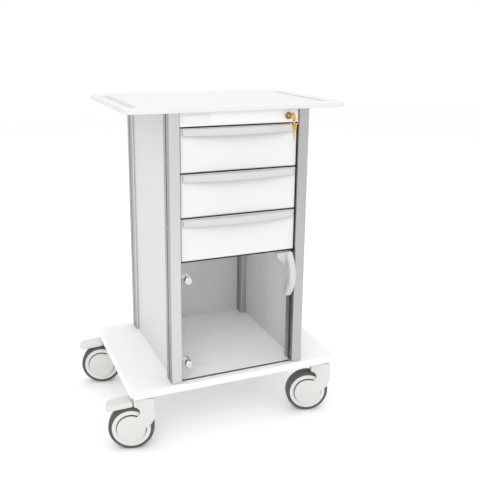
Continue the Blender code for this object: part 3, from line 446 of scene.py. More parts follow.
# %% The cart's finishes
FINISH = {
    "worktop_white": plastic("worktop_white", (0.70, 0.70, 0.695), 0.34, 700, 0.30, 0.02, dust=0.02),
    "base_white": plastic("base_white", (0.86, 0.86, 0.855), 0.36, 700, 0.25, 0.02, dust=0.03),
    # Painted shade: the posts' faces along X get a darker side tone.
    "post_aluminium": metal("post_aluminium", (0.60, 0.605, 0.60), 0.34, side=(0.34, 0.345, 0.34)),
    "panel_grey_white": plastic("panel_grey_white", (0.66, 0.665, 0.66), 0.48, 1200, 0.35, 0.03),
    "front_white": plastic("front_white", (0.73, 0.73, 0.735), 0.30, 500, 0.10, 0.02, coat=0.25),
    "badge_grey": plastic("badge_grey", (0.74, 0.745, 0.75), 0.30, 900, 0.15, 0.02, coat=0.3),
    "pull_grey": plastic("pull_grey", (0.59, 0.58, 0.565), 0.42, 1100, 0.30, 0.03),
    "drawer_box_grey": plastic("drawer_box_grey", (0.78, 0.785, 0.785), 0.50, 1200, 0.35, 0.03),
    "slide_steel": metal("slide_steel", (0.60, 0.61, 0.62), 0.30, (500, 12, 500)),
    "hinge_chrome": metal("hinge_chrome", (0.62, 0.62, 0.62), 0.16, (300, 300, 300), 0.03),
    "clear_acrylic": clear_sheet("clear_acrylic"),
    "lock_bronze": metal("lock_bronze", (0.34, 0.20, 0.10), 0.26, (700, 700, 700), 0.10),
    "key_brass": metal("key_brass", (0.83, 0.56, 0.20), 0.24, (900, 900, 900), 0.15),
    "zinc_steel": metal("zinc_steel", (0.66, 0.66, 0.64), 0.34, (600, 600, 600), 0.15),
    "caster_grey": plastic("caster_grey", (0.67, 0.66, 0.64), 0.40, 1000, 0.30, 0.03),
    "rim_grey": plastic("rim_grey", (0.74, 0.73, 0.715), 0.34, 1000, 0.25, 0.03),
    "tyre_grey": plastic("tyre_grey", (0.058, 0.068, 0.068), 0.62, 1500, 0.55, 0.25),
}
# Painted shade: an even sky leaves little shade, so the right posts are a darker copy of the aluminium, and all
# the posts' side faces have a darker tone painted on.
SHADED_POST = metal("post_aluminium_right_painted_shade", (0.46, 0.465, 0.46), 0.34, side=(0.30, 0.305, 0.30))
# Painted light: the fascia is a lighter copy of the drawer fronts' white, making up for the shadow the worktop
# casts on it.
FASCIA_PAINTED_LIGHT = plastic("front_white_fascia_painted_light", (0.83, 0.83, 0.83), 0.30, 500, 0.10, 0.02, coat=0.25)
# Painted shade: a near-black sheet for the strips and rings that make the gaps read dark.
PAINTED_SHADE_BLACK = plastic("painted_shade_black", (0.012, 0.012, 0.013), 0.65, 1300, 0.4, 0.1)
for node_row in frame["record"]["subparts"]:
    carried = frame["nodes"][node_row["node"]]
    carried.data.materials.clear()
    carried.data.materials.append(FINISH[node_row["material_slot"]])
print(len(FINISH), "finishes; every working solid has one")

# %% Making a piece
def make_piece(name, surface, body, slot, stands_for=(), material=None, sharp=32):
    """A surface as an object at the origin: doubles merged, faces out, riding on its body."""
    points, faces = surface
    mesh = bpy.data.meshes.new(name)
    mesh.from_pydata(np.asarray(points).tolist(), [], faces)
    shape = bmesh.new()
    shape.from_mesh(mesh)
    bmesh.ops.remove_doubles(shape, verts=shape.verts, dist=0.000002)
    bmesh.ops.dissolve_degenerate(shape, edges=shape.edges, dist=0.000001)
    bmesh.ops.recalc_face_normals(shape, faces=shape.faces)
    if shape.calc_volume(signed=True) < 0:
        bmesh.ops.reverse_faces(shape, faces=shape.faces)
    shape.to_mesh(mesh)
    shape.free()
    mesh.shade_smooth()
    mesh.set_sharp_from_angle(angle=math.radians(sharp))
    piece = bpy.data.objects.new(name, mesh)
    bpy.context.scene.collection.objects.link(piece)
    mesh.materials.append(material or FINISH[slot])
    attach(piece, body)
    if stands_for:
        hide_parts(*stands_for)
    return piece


def combined(surface, tools):
    """A surface joined with or cut by others, through exact Booleans; tools are (surface, operation)."""
    def temporary(shape):
        mesh = bpy.data.meshes.new("temporary")
        mesh.from_pydata(np.asarray(shape[0]).tolist(), [], shape[1])
        work = bmesh.new()
        work.from_mesh(mesh)
        bmesh.ops.remove_doubles(work, verts=work.verts, dist=0.000002)
        bmesh.ops.dissolve_degenerate(work, edges=work.edges, dist=0.000001)
        bmesh.ops.recalc_face_normals(work, faces=work.faces)
        work.to_mesh(mesh)
        work.free()
        holder = bpy.data.objects.new("temporary", mesh)
        bpy.context.scene.collection.objects.link(holder)
        return holder

    main = temporary(surface)
    helpers = [temporary(tool) for tool, _ in tools]
    for helper, (_, operation) in zip(helpers, tools):
        modifier = main.modifiers.new("combine", "BOOLEAN")
        modifier.operation = operation
        modifier.object = helper
    result = bpy.data.meshes.new_from_object(main.evaluated_get(bpy.context.evaluated_depsgraph_get()))
    points = np.empty(len(result.vertices) * 3, np.float32)
    result.vertices.foreach_get("co", points)
    faces = [list(polygon.vertices) for polygon in result.polygons]
    for holder in (main, *helpers):
        bpy.data.objects.remove(holder)
    return points.reshape(-1, 3).astype(float), faces


def box_surface(low, high):
    """A plain box between two corners, for cutting."""
    outline = np.array([(low[0], low[1]), (high[0], low[1]), (high[0], high[1]), (low[0], high[1])])
    return skin([lift(outline, low[2]), lift(outline, high[2])])


print("pieces can be made")

# %% [markdown]
# ## Worktop
#
# The worktop is one moulding: a flat field inside a slightly higher rim, which keeps a rolling vial
# on the top, with a long hand slot at each side to push the cart by. Its outline is a rounded
# rectangle, and the edge profile climbs from the underside round the outer edge, over the rim and
# down a soft ramp to the field. Each slot has its own profile with rounded lips, so a hand meets no
# sharp edge.

# %% The worktop
RIM_WIDTH, RIM_RAMP, FIELD_DROP = 0.0095, 0.0040, 0.0020
TOP_CORNER = 0.028
SLOT_SIZE, SLOT_INSET, SLOT_LIP = (0.022, 0.340), 0.035, 0.0025
top_low, top_high = (np.array(corner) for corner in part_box("worktop"))
top_size = top_high - top_low
ramp = np.linspace(0, 1, 6)
soft = ramp * ramp * (3 - 2 * ramp)
edge = np.concatenate([
    round_edge(top_low[2], top_high[2], 0.0025, 0.0032, 7),
    np.stack([RIM_WIDTH + RIM_RAMP * ramp, top_high[2] - FIELD_DROP * soft], 1)])
field = top_high[2] - FIELD_DROP
lip = round_edge(top_low[2], field, SLOT_LIP, SLOT_LIP)
slots = []
for side, sign in SIDES:
    slot_outline = round_box(*SLOT_SIZE, SLOT_SIZE[0] / 2 - 0.0001, 12)
    slots.append((slot_outline + (sign * (top_size[0] / 2 - SLOT_INSET), 0), lip))
worktop = plate(round_box(top_size[0], top_size[1], TOP_CORNER, 14), edge, slots)
make_piece("worktop_moulding", moved(worktop, shift(MIDDLE[0], MIDDLE[1], 0)), "cabinet",
           "worktop_white", ["worktop"])
print("worktop", top_size.round(3), "with two slots", SLOT_SIZE)

# %% [markdown]
# ## Base plate
#
# The base is wider than the cabinet so that the cart doesn't tip when a drawer is out. It is a thick
# white moulding with a bull-nosed edge, and only its outline and that edge show.

# %% The base plate
BASE_CORNER = 0.024
base_low, base_high = (np.array(corner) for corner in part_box("base_plate"))
base_size = base_high - base_low
base_edge = round_edge(base_low[2], base_high[2], 0.0080, 0.0085, 9)
base = plate(round_box(base_size[0], base_size[1], BASE_CORNER, 14), base_edge)
make_piece("base_moulding", moved(base, shift(MIDDLE[0], MIDDLE[1], 0)), "cabinet", "base_white",
           ["base_plate"])
print("base plate", base_size.round(3))

# %% [markdown]
# ## Posts
#
# Each post is an aluminium extrusion: a section drawn in two dimensions and pushed out at full
# length, with rounded corners, a T-slot down each side face and a slot that holds a panel's edge.
# The T-slot is narrow at its mouth and wider inside, so it shows as a dark line. The section is
# written for the front left post and mirrored for the others.

# %% The posts
POST_ROUND = 0.0042
MOUTH, POCKET = 0.0030, 0.0050
LIP_DEEP, SLOT_DEEP = 0.0016, 0.0052
PANEL_SLOT, PANEL_DEEP = 0.0023, 0.0073


def t_slot(sign, half_width):
    """Eight points of a T-slot in the side face at sign times half_width, in going-up order."""
    rows = [(0.0, -MOUTH), (LIP_DEEP, -MOUTH), (LIP_DEEP, -POCKET), (SLOT_DEEP, -POCKET),
            (SLOT_DEEP, POCKET), (LIP_DEEP, POCKET), (LIP_DEEP, MOUTH), (0.0, MOUTH)]
    return np.array([(sign * (half_width - deep), along) for deep, along in rows])


def post_section(size, panel_x, panel_y):
    """The front left post's section, anticlockwise from its lower left corner; +Y faces the back."""
    x, y = size[0] / 2, size[1] / 2
    r = POST_ROUND
    parts = [arc((-x + r, -y + r), r, 180, 270, 8), arc((x - r, -y + r), r, 270, 360, 8)]
    if panel_y is not None:
        parts.append(np.array([(x, panel_y - PANEL_SLOT), (x - PANEL_DEEP, panel_y - PANEL_SLOT),
                               (x - PANEL_DEEP, panel_y + PANEL_SLOT), (x, panel_y + PANEL_SLOT)]))
    parts.append(t_slot(1, x))
    parts.append(arc((x - r, y - r), r, 0, 90, 8))
    parts.append(np.array([(panel_x + PANEL_SLOT, y), (panel_x + PANEL_SLOT, y - PANEL_DEEP),
                           (panel_x - PANEL_SLOT, y - PANEL_DEEP), (panel_x - PANEL_SLOT, y)]))
    parts.append(arc((-x + r, y - r), r, 90, 180, 8))
    parts.append(t_slot(-1, x)[::-1])
    return np.concatenate(parts)


for end, sign_y in ENDS:
    for side, sign_x in SIDES:
        place, size = span(f"post_{end}_{side}")
        panel_x = -abs(span("side_panel_" + side)[0][0] - place[0])
        panel_y = -abs(span("back_panel")[0][1] - place[1]) if end == "back" else None
        section = post_section(size, panel_x, panel_y) * (-sign_x, -sign_y)
        rings = [lift(section, place[2] - size[2] / 2), lift(section, place[2] + size[2] / 2)]
        # The right posts take the darker aluminium, as painted shade.
        make_piece(f"post_extrusion_{end}_{side}", moved(skin(rings), shift(place[0], place[1], 0)),
                   "cabinet", "post_aluminium", [f"post_{end}_{side}"],
                   SHADED_POST if side == "right" else None, sharp=25)
print("posts", size.round(3))

# %% [markdown]
# ## Screws in the slots
#
# Small pan-head screws sit in the posts' side slots, where the panels are fixed. A pan head is a turned
# dome with a shallow round socket.

# %% The slot screws
HEAD_RADIUS, HEAD_HEIGHT = 0.0029, 0.0017
SCREW_HEIGHTS = (0.350, 0.611, 0.785)


def pan_head(radius, height):
    """A dome whose height falls as a quarter ellipse, with a round socket in its middle."""
    turn = np.linspace(0, math.pi / 2, 7)
    dome = np.stack([radius * np.cos(turn) * 0.55 + radius * 0.45, height * np.sin(turn)], 1)
    socket = [(radius * 0.42, height), (radius * 0.38, height * 0.45), (0, height * 0.45)]
    return turned(np.concatenate([[(0, -height)], [(radius, -height)], dome, socket]), 24, closed=False)


heads = []
for end, sign_y in ENDS:
    for side, sign_x in SIDES:
        place, size = span(f"post_{end}_{side}")
        for height in SCREW_HEIGHTS:
            matrix = (shift(place[0] + sign_x * (size[0] / 2 - LIP_DEEP), place[1], height)
                      @ Matrix.Rotation(sign_x * math.pi / 2, 4, "Y"))
            heads.append(moved(pan_head(HEAD_RADIUS, HEAD_HEIGHT), matrix))
make_piece("slot_screws", join(*heads), "cabinet", "zinc_steel")
print(len(heads), "slot screws")

# %% [markdown]
# ## Fascia, badge and lock
#
# Above the drawers a fixed white fascia carries a plain badge plate and the lock. The fascia is a
# plate with softened edges and a round hole. The lock is two turned parts: a bronze bezel, and the
# plug with its keyway, which turns with the key.

# %% The fascia and its badge
def standing_plate(node, radius, edges, holes=()):
    """A plate that stands in a node's box and faces -Y; edges are its back and front rounding."""
    place, size = span(node)
    profile = round_edge(-size[1] / 2, size[1] / 2, *edges)
    outline = round_box(size[0], size[2], radius, 6)
    return moved(plate(outline, profile, holes), shift(*place) @ UPRIGHT)


lock_place, lock_size = span("lock_barrel")
fascia_place, fascia_size = span("fascia")
LOCK_BODY = 0.0077
bore = arc((lock_place[0] - fascia_place[0], lock_place[2] - fascia_place[2]), LOCK_BODY, 0, 352, 44)
bore_lip = round_edge(-fascia_size[1] / 2, fascia_size[1] / 2, 0.0003, 0.0004, 2)
# The fascia takes the lighter copy of the front white, as painted light.
make_piece("fascia_moulding", standing_plate("fascia", 0.0020, (0.0006, 0.0016), [(bore, bore_lip)]),
           "cabinet", "front_white", ["fascia"], FASCIA_PAINTED_LIGHT)
make_piece("badge_blank", standing_plate("badge_plate", 0.0032, (0.0001, 0.0005)), "cabinet",
           "badge_grey", ["badge_plate"])
print("fascia", fascia_size.round(4))

# %% The lock
RIM_RADIUS, PLUG_RADIUS = 0.0090, 0.0045
lock_front = lock_place[1] - lock_size[1] / 2
lock_back = lock_place[1] + lock_size[1] / 2
lock_axis = shift(lock_place[0], 0, lock_place[2]) @ UPRIGHT
fascia_front = fascia_place[1] - fascia_size[1] / 2
face = -lock_front
turn = np.linspace(0, math.pi / 2, 9)
bezel = np.stack([RIM_RADIUS - 0.0020 * (1 - np.cos(turn)), face - 0.0020 * (1 - np.sin(turn))], 1)
barrel = np.concatenate([
    [(PLUG_RADIUS + 0.0002, -lock_back), (LOCK_BODY - 0.0003, -lock_back),
     (LOCK_BODY - 0.0003, -fascia_front + 0.0002), (RIM_RADIUS, -fascia_front + 0.0002)],
    bezel, [(PLUG_RADIUS + 0.0014, face), (PLUG_RADIUS + 0.0006, face - 0.0008),
            (PLUG_RADIUS + 0.0002, face - 0.0008)]])
make_piece("lock_bezel", moved(turned(barrel, 72), lock_axis), "cabinet", "lock_bronze",
           ["lock_barrel"])
plug_place, plug_size = span("lock_plug")
plug_face = -(plug_place[1] - plug_size[1] / 2)
plug_profile = [(0, -lock_back), (PLUG_RADIUS, -lock_back), (PLUG_RADIUS, plug_face - 0.0005),
                (PLUG_RADIUS - 0.0005, plug_face), (0, plug_face)]
keyway = box_surface((-0.0011, -0.0036, plug_face - 0.0208), (0.0011, 0.0036, plug_face + 0.01))
plug = combined(turned(plug_profile, 48, closed=False), [(keyway, "DIFFERENCE")])
make_piece("lock_plug_face", moved(plug, lock_axis), "lock_plug", "lock_bronze", ["lock_plug"],
           FINISH["key_brass"])
print("lock at", lock_place.round(4))

# %% [markdown]
# ## Keys
#
# The key in the lock is a flat blank: a round bow with a hole, and a blade. A spare hangs from it on a
# split ring, which is two turns of wire pressed together. The bow's outline is a circle that opens
# into the blade, where the blade meets it by the rule sine of the angle = half the blade over the
# bow's radius.

# %% The keys
KEY_THICK, BOW_RADIUS, BLADE_HALF = 0.0018, 0.0115, 0.0032
BOW_REACH, HOLE_RADIUS, HOLE_OUT = 0.025, 0.0026, 0.004
BLADE_IN_LOCK, HANG_PLAY = 0.0192, 0.0012
RING_RADIUS, RING_WIRE = 0.0105, 0.00055
SPARE_BITE = 0.0245


def key_blank(blade_end):
    """A key lying in XY: its bow about the origin, its blade towards -X down to blade_end."""
    meet = math.degrees(math.asin(BLADE_HALF / BOW_RADIUS))
    bow = arc((0, 0), BOW_RADIUS, meet - 180, 180 - meet, 56)
    bow[:, 0] *= 1.0 + 0.06 * np.sin(np.arctan2(bow[:, 1], bow[:, 0])) ** 2
    cuts = np.linspace(-BOW_RADIUS - 0.004, blade_end + 0.003, 9)
    bites = BLADE_HALF - 0.0011 * (np.arange(9) % 2) * np.array([0, 1, 1, 0.6, 1, 1, 0.5, 1, 0])
    blade = np.concatenate([np.stack([cuts, bites], 1), [(blade_end, BLADE_HALF - 0.0016),
                                                         (blade_end, -BLADE_HALF + 0.0006)]])
    hole = arc((HOLE_OUT, 0), HOLE_RADIUS, 0, 345, 23)
    edge = round_edge(-KEY_THICK / 2, KEY_THICK / 2, 0.0003, 0.0003, 2)
    return plate(np.concatenate([bow, blade]), edge, [(hole, edge)])


bow_y = lock_front - BOW_REACH
in_lock = (shift(lock_place[0], bow_y, lock_place[2]) @ Matrix.Rotation(-math.pi / 2, 4, "Z") @ UPRIGHT)
make_piece("key_in_lock", moved(key_blank(-BOW_REACH - BLADE_IN_LOCK), in_lock), "lock_plug", "key_brass",
           ["key"])
ring_top = (lock_place[0], bow_y - HOLE_OUT, lock_place[2] - HOLE_RADIUS + 2.2 * RING_WIRE)
angle = np.linspace(0, 4 * math.pi, 97)
coil = np.stack([ring_top[0] + RING_RADIUS * np.sin(angle),
                 ring_top[1] + 2 * RING_WIRE * (angle / (4 * math.pi) - 0.5) * 2,
                 ring_top[2] - RING_RADIUS + RING_RADIUS * np.cos(angle)], 1)
make_piece("split_ring", tube(coil, RING_WIRE, 10, (0, 1, 0)), "cabinet", "key_brass")
spare_z = ring_top[2] - 2 * RING_RADIUS + HOLE_RADIUS - HOLE_OUT - HANG_PLAY
hang = (shift(ring_top[0], ring_top[1], spare_z) @ Matrix.Rotation(math.pi / 2, 4, "Z") @ UPRIGHT
        @ Matrix.Rotation(math.pi / 2, 4, "Z"))
make_piece("spare_key", moved(key_blank(-BOW_RADIUS - SPARE_BITE), hang), "cabinet", "key_brass")
print("the spare key hangs at", np.round([ring_top[0], ring_top[1], spare_z], 4))

# %% [markdown]
# ## Drawers
#
# A drawer is a glossy front, a bowed pull along its upper edge and a moulded tray on two steel
# runners. The pull is the hard one: its front face bows out in a parabola, thins to the drawer's
# face at both ends, and is hollow below for the fingertips. It is a section of fifteen points carried along
# X, whose depth and hollow are functions of X.

# %% The drawer pulls
PULL_END, PULL_BOW, PULL_WALL, PULL_ROOF, PULL_TIP = 0.005, 0.016, 0.0032, 0.0050, 0.0035


def pull_surface(half, height):
    """A bowed pull about X = 0, its back at Y = 0 and its top at Z = 0, facing -Y."""
    turn = np.linspace(-math.pi / 2, math.pi / 2, 81)
    x = half * np.sin(turn)
    depth = PULL_END + PULL_BOW * (1 - (x / half) ** 2)
    near_tip = np.clip((np.abs(x) - (half - PULL_TIP)) / PULL_TIP, 0, 1)
    depth = depth - PULL_END * 0.75 * (1 - np.sqrt(1 - near_tip ** 2))
    hollow = np.clip((half - 0.004 - np.abs(x)) / 0.016, 0, 1)
    roof = np.maximum((height - PULL_ROOF) * np.sqrt(hollow * (2 - hollow)), 0.0002)
    round_top = np.minimum(0.0042, depth * 0.8)
    round_low = np.minimum(0.0016, depth * 0.4)
    wall = np.minimum(PULL_WALL, depth * 0.8)
    lean = 0.0012
    columns = [(0 * x, 0 * x)]
    for step in np.linspace(0, math.pi / 2, 6):
        columns.append((depth - round_top * (1 - np.sin(step)) - lean, -round_top * (1 - np.cos(step))))
    for step in np.linspace(0, math.pi / 2, 4):
        columns.append((depth - round_low * (1 - np.cos(step)), -height + round_low * (1 - np.sin(step))))
    columns.append((depth - wall, 0 * x - height))
    columns.append((depth - wall, -height + roof * 0.85))
    columns.append((depth - wall - 0.0006, -height + roof))
    columns.append((0 * x, -height + roof))
    rings = np.stack([np.stack([x, -forward, down], 1) for forward, down in columns], 1)
    return skin(rings)


for drawer in DRAWERS:
    low, high = (np.array(corner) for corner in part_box("drawer_pull_" + drawer))
    surface = pull_surface((high[0] - low[0]) / 2, high[2] - low[2])
    make_piece("pull_" + drawer, moved(surface, shift((low[0] + high[0]) / 2, high[1], high[2])),
               "drawer_" + drawer, "pull_grey", ["drawer_pull_" + drawer])
print("pulls", (high - low).round(4))

# %% The drawer fronts and trays
FRONT_CORNER, FRONT_EDGES = 0.0022, (0.0010, 0.0024)
TRAY_WALL, TRAY_CORNER, TRAY_FILLET = 0.0020, 0.0090, 0.0070


def tray_surface(size):
    """An open tray: outline rings go under it, up its outside, over the lip, down and in to the floor."""
    turn = np.linspace(0, math.pi / 2, 6)
    fillet = TRAY_FILLET
    outside = [(fillet * (1 - math.sin(t)), fillet * (1 - math.cos(t))) for t in turn]
    over = [(TRAY_WALL / 2 * (1 - math.cos(t * 2)), size[2] - TRAY_WALL / 2 * (1 - math.sin(t * 2)))
            for t in turn]
    inner = fillet - TRAY_WALL
    inside = [(TRAY_WALL + inner * (1 - math.cos(t)), TRAY_WALL + inner * (1 - math.sin(t)))
              for t in turn]
    outline = round_box(size[0], size[1], TRAY_CORNER, 8)
    return skin([lift(inset(outline, depth), height) for depth, height in outside + over + inside])


for drawer in DRAWERS:
    make_piece("front_" + drawer, standing_plate("drawer_front_" + drawer, FRONT_CORNER, FRONT_EDGES),
               "drawer_" + drawer, "front_white", ["drawer_front_" + drawer])
    place, size = span("drawer_box_" + drawer)
    make_piece("tray_" + drawer, moved(tray_surface(size), shift(place[0], place[1], place[2] - size[2] / 2)),
               "drawer_" + drawer, "drawer_box_grey", ["drawer_box_" + drawer])
print("trays", size.round(3))

# %% [markdown]
# ## Painted shade behind the fronts
#
# Thin dark strips of painted shade sit in the gaps round the drawers, over and under the door, and down the
# posts, so that each gap reads as a dark line. Those on the drawers' upper edges move with the drawers.

# %% The painted shade strips
SHADE_STRIP_THICK = 0.0012
fronts = [span("drawer_front_" + drawer) for drawer in DRAWERS]
front_back = fronts[0][0][1] + fronts[0][1][1] / 2
front_face = fronts[0][0][1] - fronts[0][1][1] / 2
strips = []
post_inner = span("post_front_right")[0][0] - span("post_front_right")[1][0] / 2 - MIDDLE[0]
for sign in (-1, 1):
    outer = sign * (post_inner - 0.0001)
    inner = sign * (post_inner - SHADE_STRIP_THICK)
    strips.append(box_surface((min(outer, inner), front_face + 0.0045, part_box("door_panel")[0][2]),
                              (max(outer, inner), front_back - 0.0002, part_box("fascia")[0][2] - 0.0008)))
door_low, door_high = (np.array(corner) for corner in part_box("door_panel"))
sill = box_surface((door_low[0] - MIDDLE[0], door_low[1] + 0.0008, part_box("base_plate")[1][2] - 0.0002),
                   (door_high[0] - MIDDLE[0], door_high[1] - 0.0008, door_low[2] - 0.0005))
over_door = box_surface((door_low[0] - MIDDLE[0], front_face + 0.0035, door_high[2] + 0.0004),
                        (door_high[0] - MIDDLE[0], front_back - 0.0010,
                         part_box("drawer_front_bottom")[0][2] - 0.0005))
strips += [sill, over_door]
# The strips round the fronts and the door are painted shade.
make_piece("frame_painted_shade_strips", moved(join(*strips), shift(MIDDLE[0], 0, 0)), "cabinet", "tyre_grey", (),
           PAINTED_SHADE_BLACK)
# Each drawer's upper edge carries a strip of painted shade that moves with it.
for drawer, (place, size) in zip(DRAWERS, fronts):
    top = place[2] + size[2] / 2
    band = [box_surface((-size[0] / 2 + 0.002, front_face + 0.0035, top - 0.0002),
                        (size[0] / 2 - 0.002, front_back - 0.0010, top + 0.0038))]
    make_piece("lip_painted_shade_strip_" + drawer, moved(join(*band), shift(place[0], 0, 0)), "drawer_" + drawer,
               "tyre_grey", (), PAINTED_SHADE_BLACK)
print("seals behind", len(fronts), "fronts")

# %% [markdown]
# ## Door
#
# The door is a clear acrylic sheet with polished edges, hung on two round hinge caps. The caps are
# domed discs whose cups pass through holes in the sheet. The pull is an upright bowed grip with a
# finger gap behind it, and a dished flange along the door's top edge that steadies it.

# %% The door sheet and hinge caps
door_place, door_size = span("door_panel")
CUP_HOLE = 0.0080
holes = []
for name in ("upper", "lower"):
    cap_place = span("hinge_cap_" + name)[0]
    cup = (cap_place[0] - door_place[0], cap_place[2] - door_place[2])
    holes.append((arc(cup, CUP_HOLE, 0, 354, 59),
                  round_edge(-door_size[1] / 2, door_size[1] / 2, 0.0003, 0.0003, 2)))
make_piece("door_sheet", standing_plate("door_panel", 0.0030, (0.0007, 0.0007), holes), "door",
           "clear_acrylic", ["door_panel"])
door_front = door_place[1] - door_size[1] / 2
CAP_RADIUS, CAP_HEIGHT = 0.0105, 0.0090
for name in ("upper", "lower"):
    cap_place = span("hinge_cap_" + name)[0]
    turn = np.linspace(0, math.pi / 2, 12)
    dome = np.stack([CAP_RADIUS * np.cos(turn) ** 0.7, CAP_HEIGHT - 0.0030 * (1 - np.sin(turn))], 1)
    foot = [(0, 0.0003), (CAP_RADIUS - 0.0008, 0.0003), (CAP_RADIUS, 0.0011)]
    cap = turned(np.concatenate([foot, dome]), 64, closed=False)
    make_piece("hinge_dome_" + name,
               moved(cap, shift(cap_place[0], door_front, cap_place[2]) @ UPRIGHT), "door",
               "hinge_chrome", ())
print("door", door_size.round(4))

# %% The door pull
GRIP_WIDTH, GRIP_SEAT, GRIP_BAR, GRIP_FOOT = 0.0180, 0.0070, 0.0085, 0.0300
FLANGE_DEEP = 0.0052
pull_low, pull_high = (np.array(corner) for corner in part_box("door_pull"))


def bow_line(start, end, seat, bow, steps):
    """Points from one height to the other, standing off by seat plus a parabola of height bow."""
    share = np.linspace(-1, 1, steps)
    height = start + (end - start) * (share + 1) / 2
    return np.stack([seat + bow * (1 - share ** 2), height], 1)


grip_height = pull_high[2] - pull_low[2]
grip_left = pull_high[0] - 0.0010 - GRIP_WIDTH
grip_bow = pull_high[1] - pull_low[1] - GRIP_SEAT
outer = bow_line(0, grip_height, GRIP_SEAT, grip_bow, 41)
outline = np.concatenate([[(0.0, 0.0)], outer, [(0.0, grip_height)]])
gap_low, gap_high = GRIP_FOOT, grip_height - 0.0245
gap = np.concatenate([[(0.0006, gap_low)],
                      bow_line(gap_low, gap_high, 0.0042, grip_bow + GRIP_SEAT - GRIP_BAR - 0.0050, 25),
                      [(0.0006, gap_high)]])
grip_edge = round_edge(0, GRIP_WIDTH, 0.0046, 0.0046, 7)
gap_edge = round_edge(0, GRIP_WIDTH, 0.0012, 0.0012, 3)
grip_surface = plate(outline, grip_edge, [(gap, gap_edge)])
# local (forward, up, across) becomes world (across, -forward, up)
STAND = Matrix(((0, 0, 1, 0), (-1, 0, 0, 0), (0, 1, 0, 0), (0, 0, 0, 1)))
grip = moved(grip_surface, shift(grip_left, pull_high[1], pull_low[2]) @ STAND)
flange_left = pull_low[0] - grip_left
flange = np.array([(0.0060, -0.0012), (flange_left + 0.003, -0.0012), (flange_left + 0.0006, -0.0022),
                   (flange_left, -0.0050), (flange_left + 0.0004, -0.0135), (flange_left + 0.0030, -0.0175),
                   (-0.0030, -0.0410), (0.0060, -0.0430)])
dish = np.array([(0.0, 0.0), (0.0004, 0.0), (0.0004, FLANGE_DEEP - 0.0006), (0.0010, FLANGE_DEEP),
                 (0.0026, FLANGE_DEEP), (0.0034, FLANGE_DEEP - 0.0022)])
flange_surface = moved(plate(flange, dish), shift(grip_left, pull_high[1], pull_high[2]) @ UPRIGHT)
make_piece("door_grip", grip, "door", "pull_grey", ["door_pull"])
make_piece("door_grip_flange", flange_surface, "door", "pull_grey", ())
screw = shift(grip_left + 0.0001, pull_high[1] - 0.0150, pull_low[2] + 0.0225) \
    @ Matrix.Rotation(-math.pi / 2, 4, "Y")
make_piece("grip_screw", moved(pan_head(0.0022, 0.0010), screw), "door", "zinc_steel")
print("door grip", (pull_high - pull_low).round(4))

# %% [markdown]
# ## Casters
#
# Each caster is a moulded fork over a light wheel with a dark tyre. The fork's arm runs into a round
# hub cover that nearly fills the wheel, so from the side there are only rings: cover, thin shadow,
# light rim, tyre. All four are the same moulding, so it is worked out once about its axle and
# placed four times. The left ones also carry a brake pedal.

# %% The caster's shapes
FORK_IN, FORK_OUT = 0.0175, 0.0225
HUB_RADIUS, BOSS_RADIUS = 0.0390, 0.0372
TRAIL, HOUSING_RADIUS = 0.0365, 0.0280
fork_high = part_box("caster_fork_front_left")[1]
AXLE_HEIGHT = span("caster_wheel_front_left")[0][2]
HOUSING_TOP = fork_high[2] - AXLE_HEIGHT
ARM_TOP = HOUSING_TOP - 0.0002
BRIDGE_LOW = 0.0655


def arm_outline():
    """The fork arm from the side, about the axle, X towards the swivel: hub, heel, back, top, neck."""
    right = TRAIL + HOUSING_RADIUS
    left = TRAIL - HOUSING_RADIUS
    hub = arc((0, 0), HUB_RADIUS, 66, 366, 75)
    share = np.linspace(0, 1, 12)[1:, None]
    heel_start, heel_pull, heel_end = hub[-1], np.array((0.0600, 0.0120)), np.array((right, 0.0420))
    heel = (1 - share) ** 2 * heel_start + 2 * share * (1 - share) * heel_pull + share ** 2 * heel_end
    top_right = arc((right - 0.004, ARM_TOP - 0.004), 0.004, 0, 90, 6)
    top_left = arc((left + 0.002, ARM_TOP - 0.002), 0.002, 90, 180, 4)
    neck = arc((0.0335, 0.0560), 0.0100, 170, 222, 6)
    return np.concatenate([hub, heel, top_right, top_left, [(left, BRIDGE_LOW + 0.0065)], neck])


def fork_surface(braked):
    """Housing, two arms, two hub bosses and the axle, united; a pocket is cut for a brake pedal."""
    right = TRAIL + HOUSING_RADIUS
    left = TRAIL - HOUSING_RADIUS
    half = FORK_OUT - 0.0001
    plan = np.concatenate([arc((left + 0.006, half - 0.006), 0.006, 90, 180, 5),
                           arc((left + 0.006, -half + 0.006), 0.006, 180, 270, 5),
                           arc((right - 0.020, -half + 0.020), 0.020, 270, 360, 12),
                           arc((right - 0.020, half - 0.020), 0.020, 0, 90, 12)])
    housing = plate(plan, round_edge(BRIDGE_LOW, HOUSING_TOP, 0.0010, 0.0030, 6))
    arm = moved(plate(arm_outline(), round_edge(FORK_IN, FORK_OUT, 0.0004, 0.0016, 4)), UPRIGHT)
    boss = moved(turned([(0, 0.0100), (BOSS_RADIUS, 0.0100), (BOSS_RADIUS, 0.0195), (0, 0.0195)], 56, False),
                 UPRIGHT)
    axle = moved(turned([(0, -0.018), (0.006, -0.018), (0.006, 0.018), (0, 0.018)], 32, False), UPRIGHT)
    mirror = Matrix.Scale(-1, 4, (0, 1, 0))
    tools = [(arm, "UNION"), (moved(arm, mirror), "UNION"), (boss, "UNION"),
             (moved(boss, mirror), "UNION"), (axle, "UNION")]
    if braked:
        tools.append((box_surface((left - 0.010, -0.0115, HOUSING_TOP - 0.0225),
                                  (left + 0.0145, 0.0115, HOUSING_TOP - 0.0055)), "DIFFERENCE"))
    return combined(housing, tools)


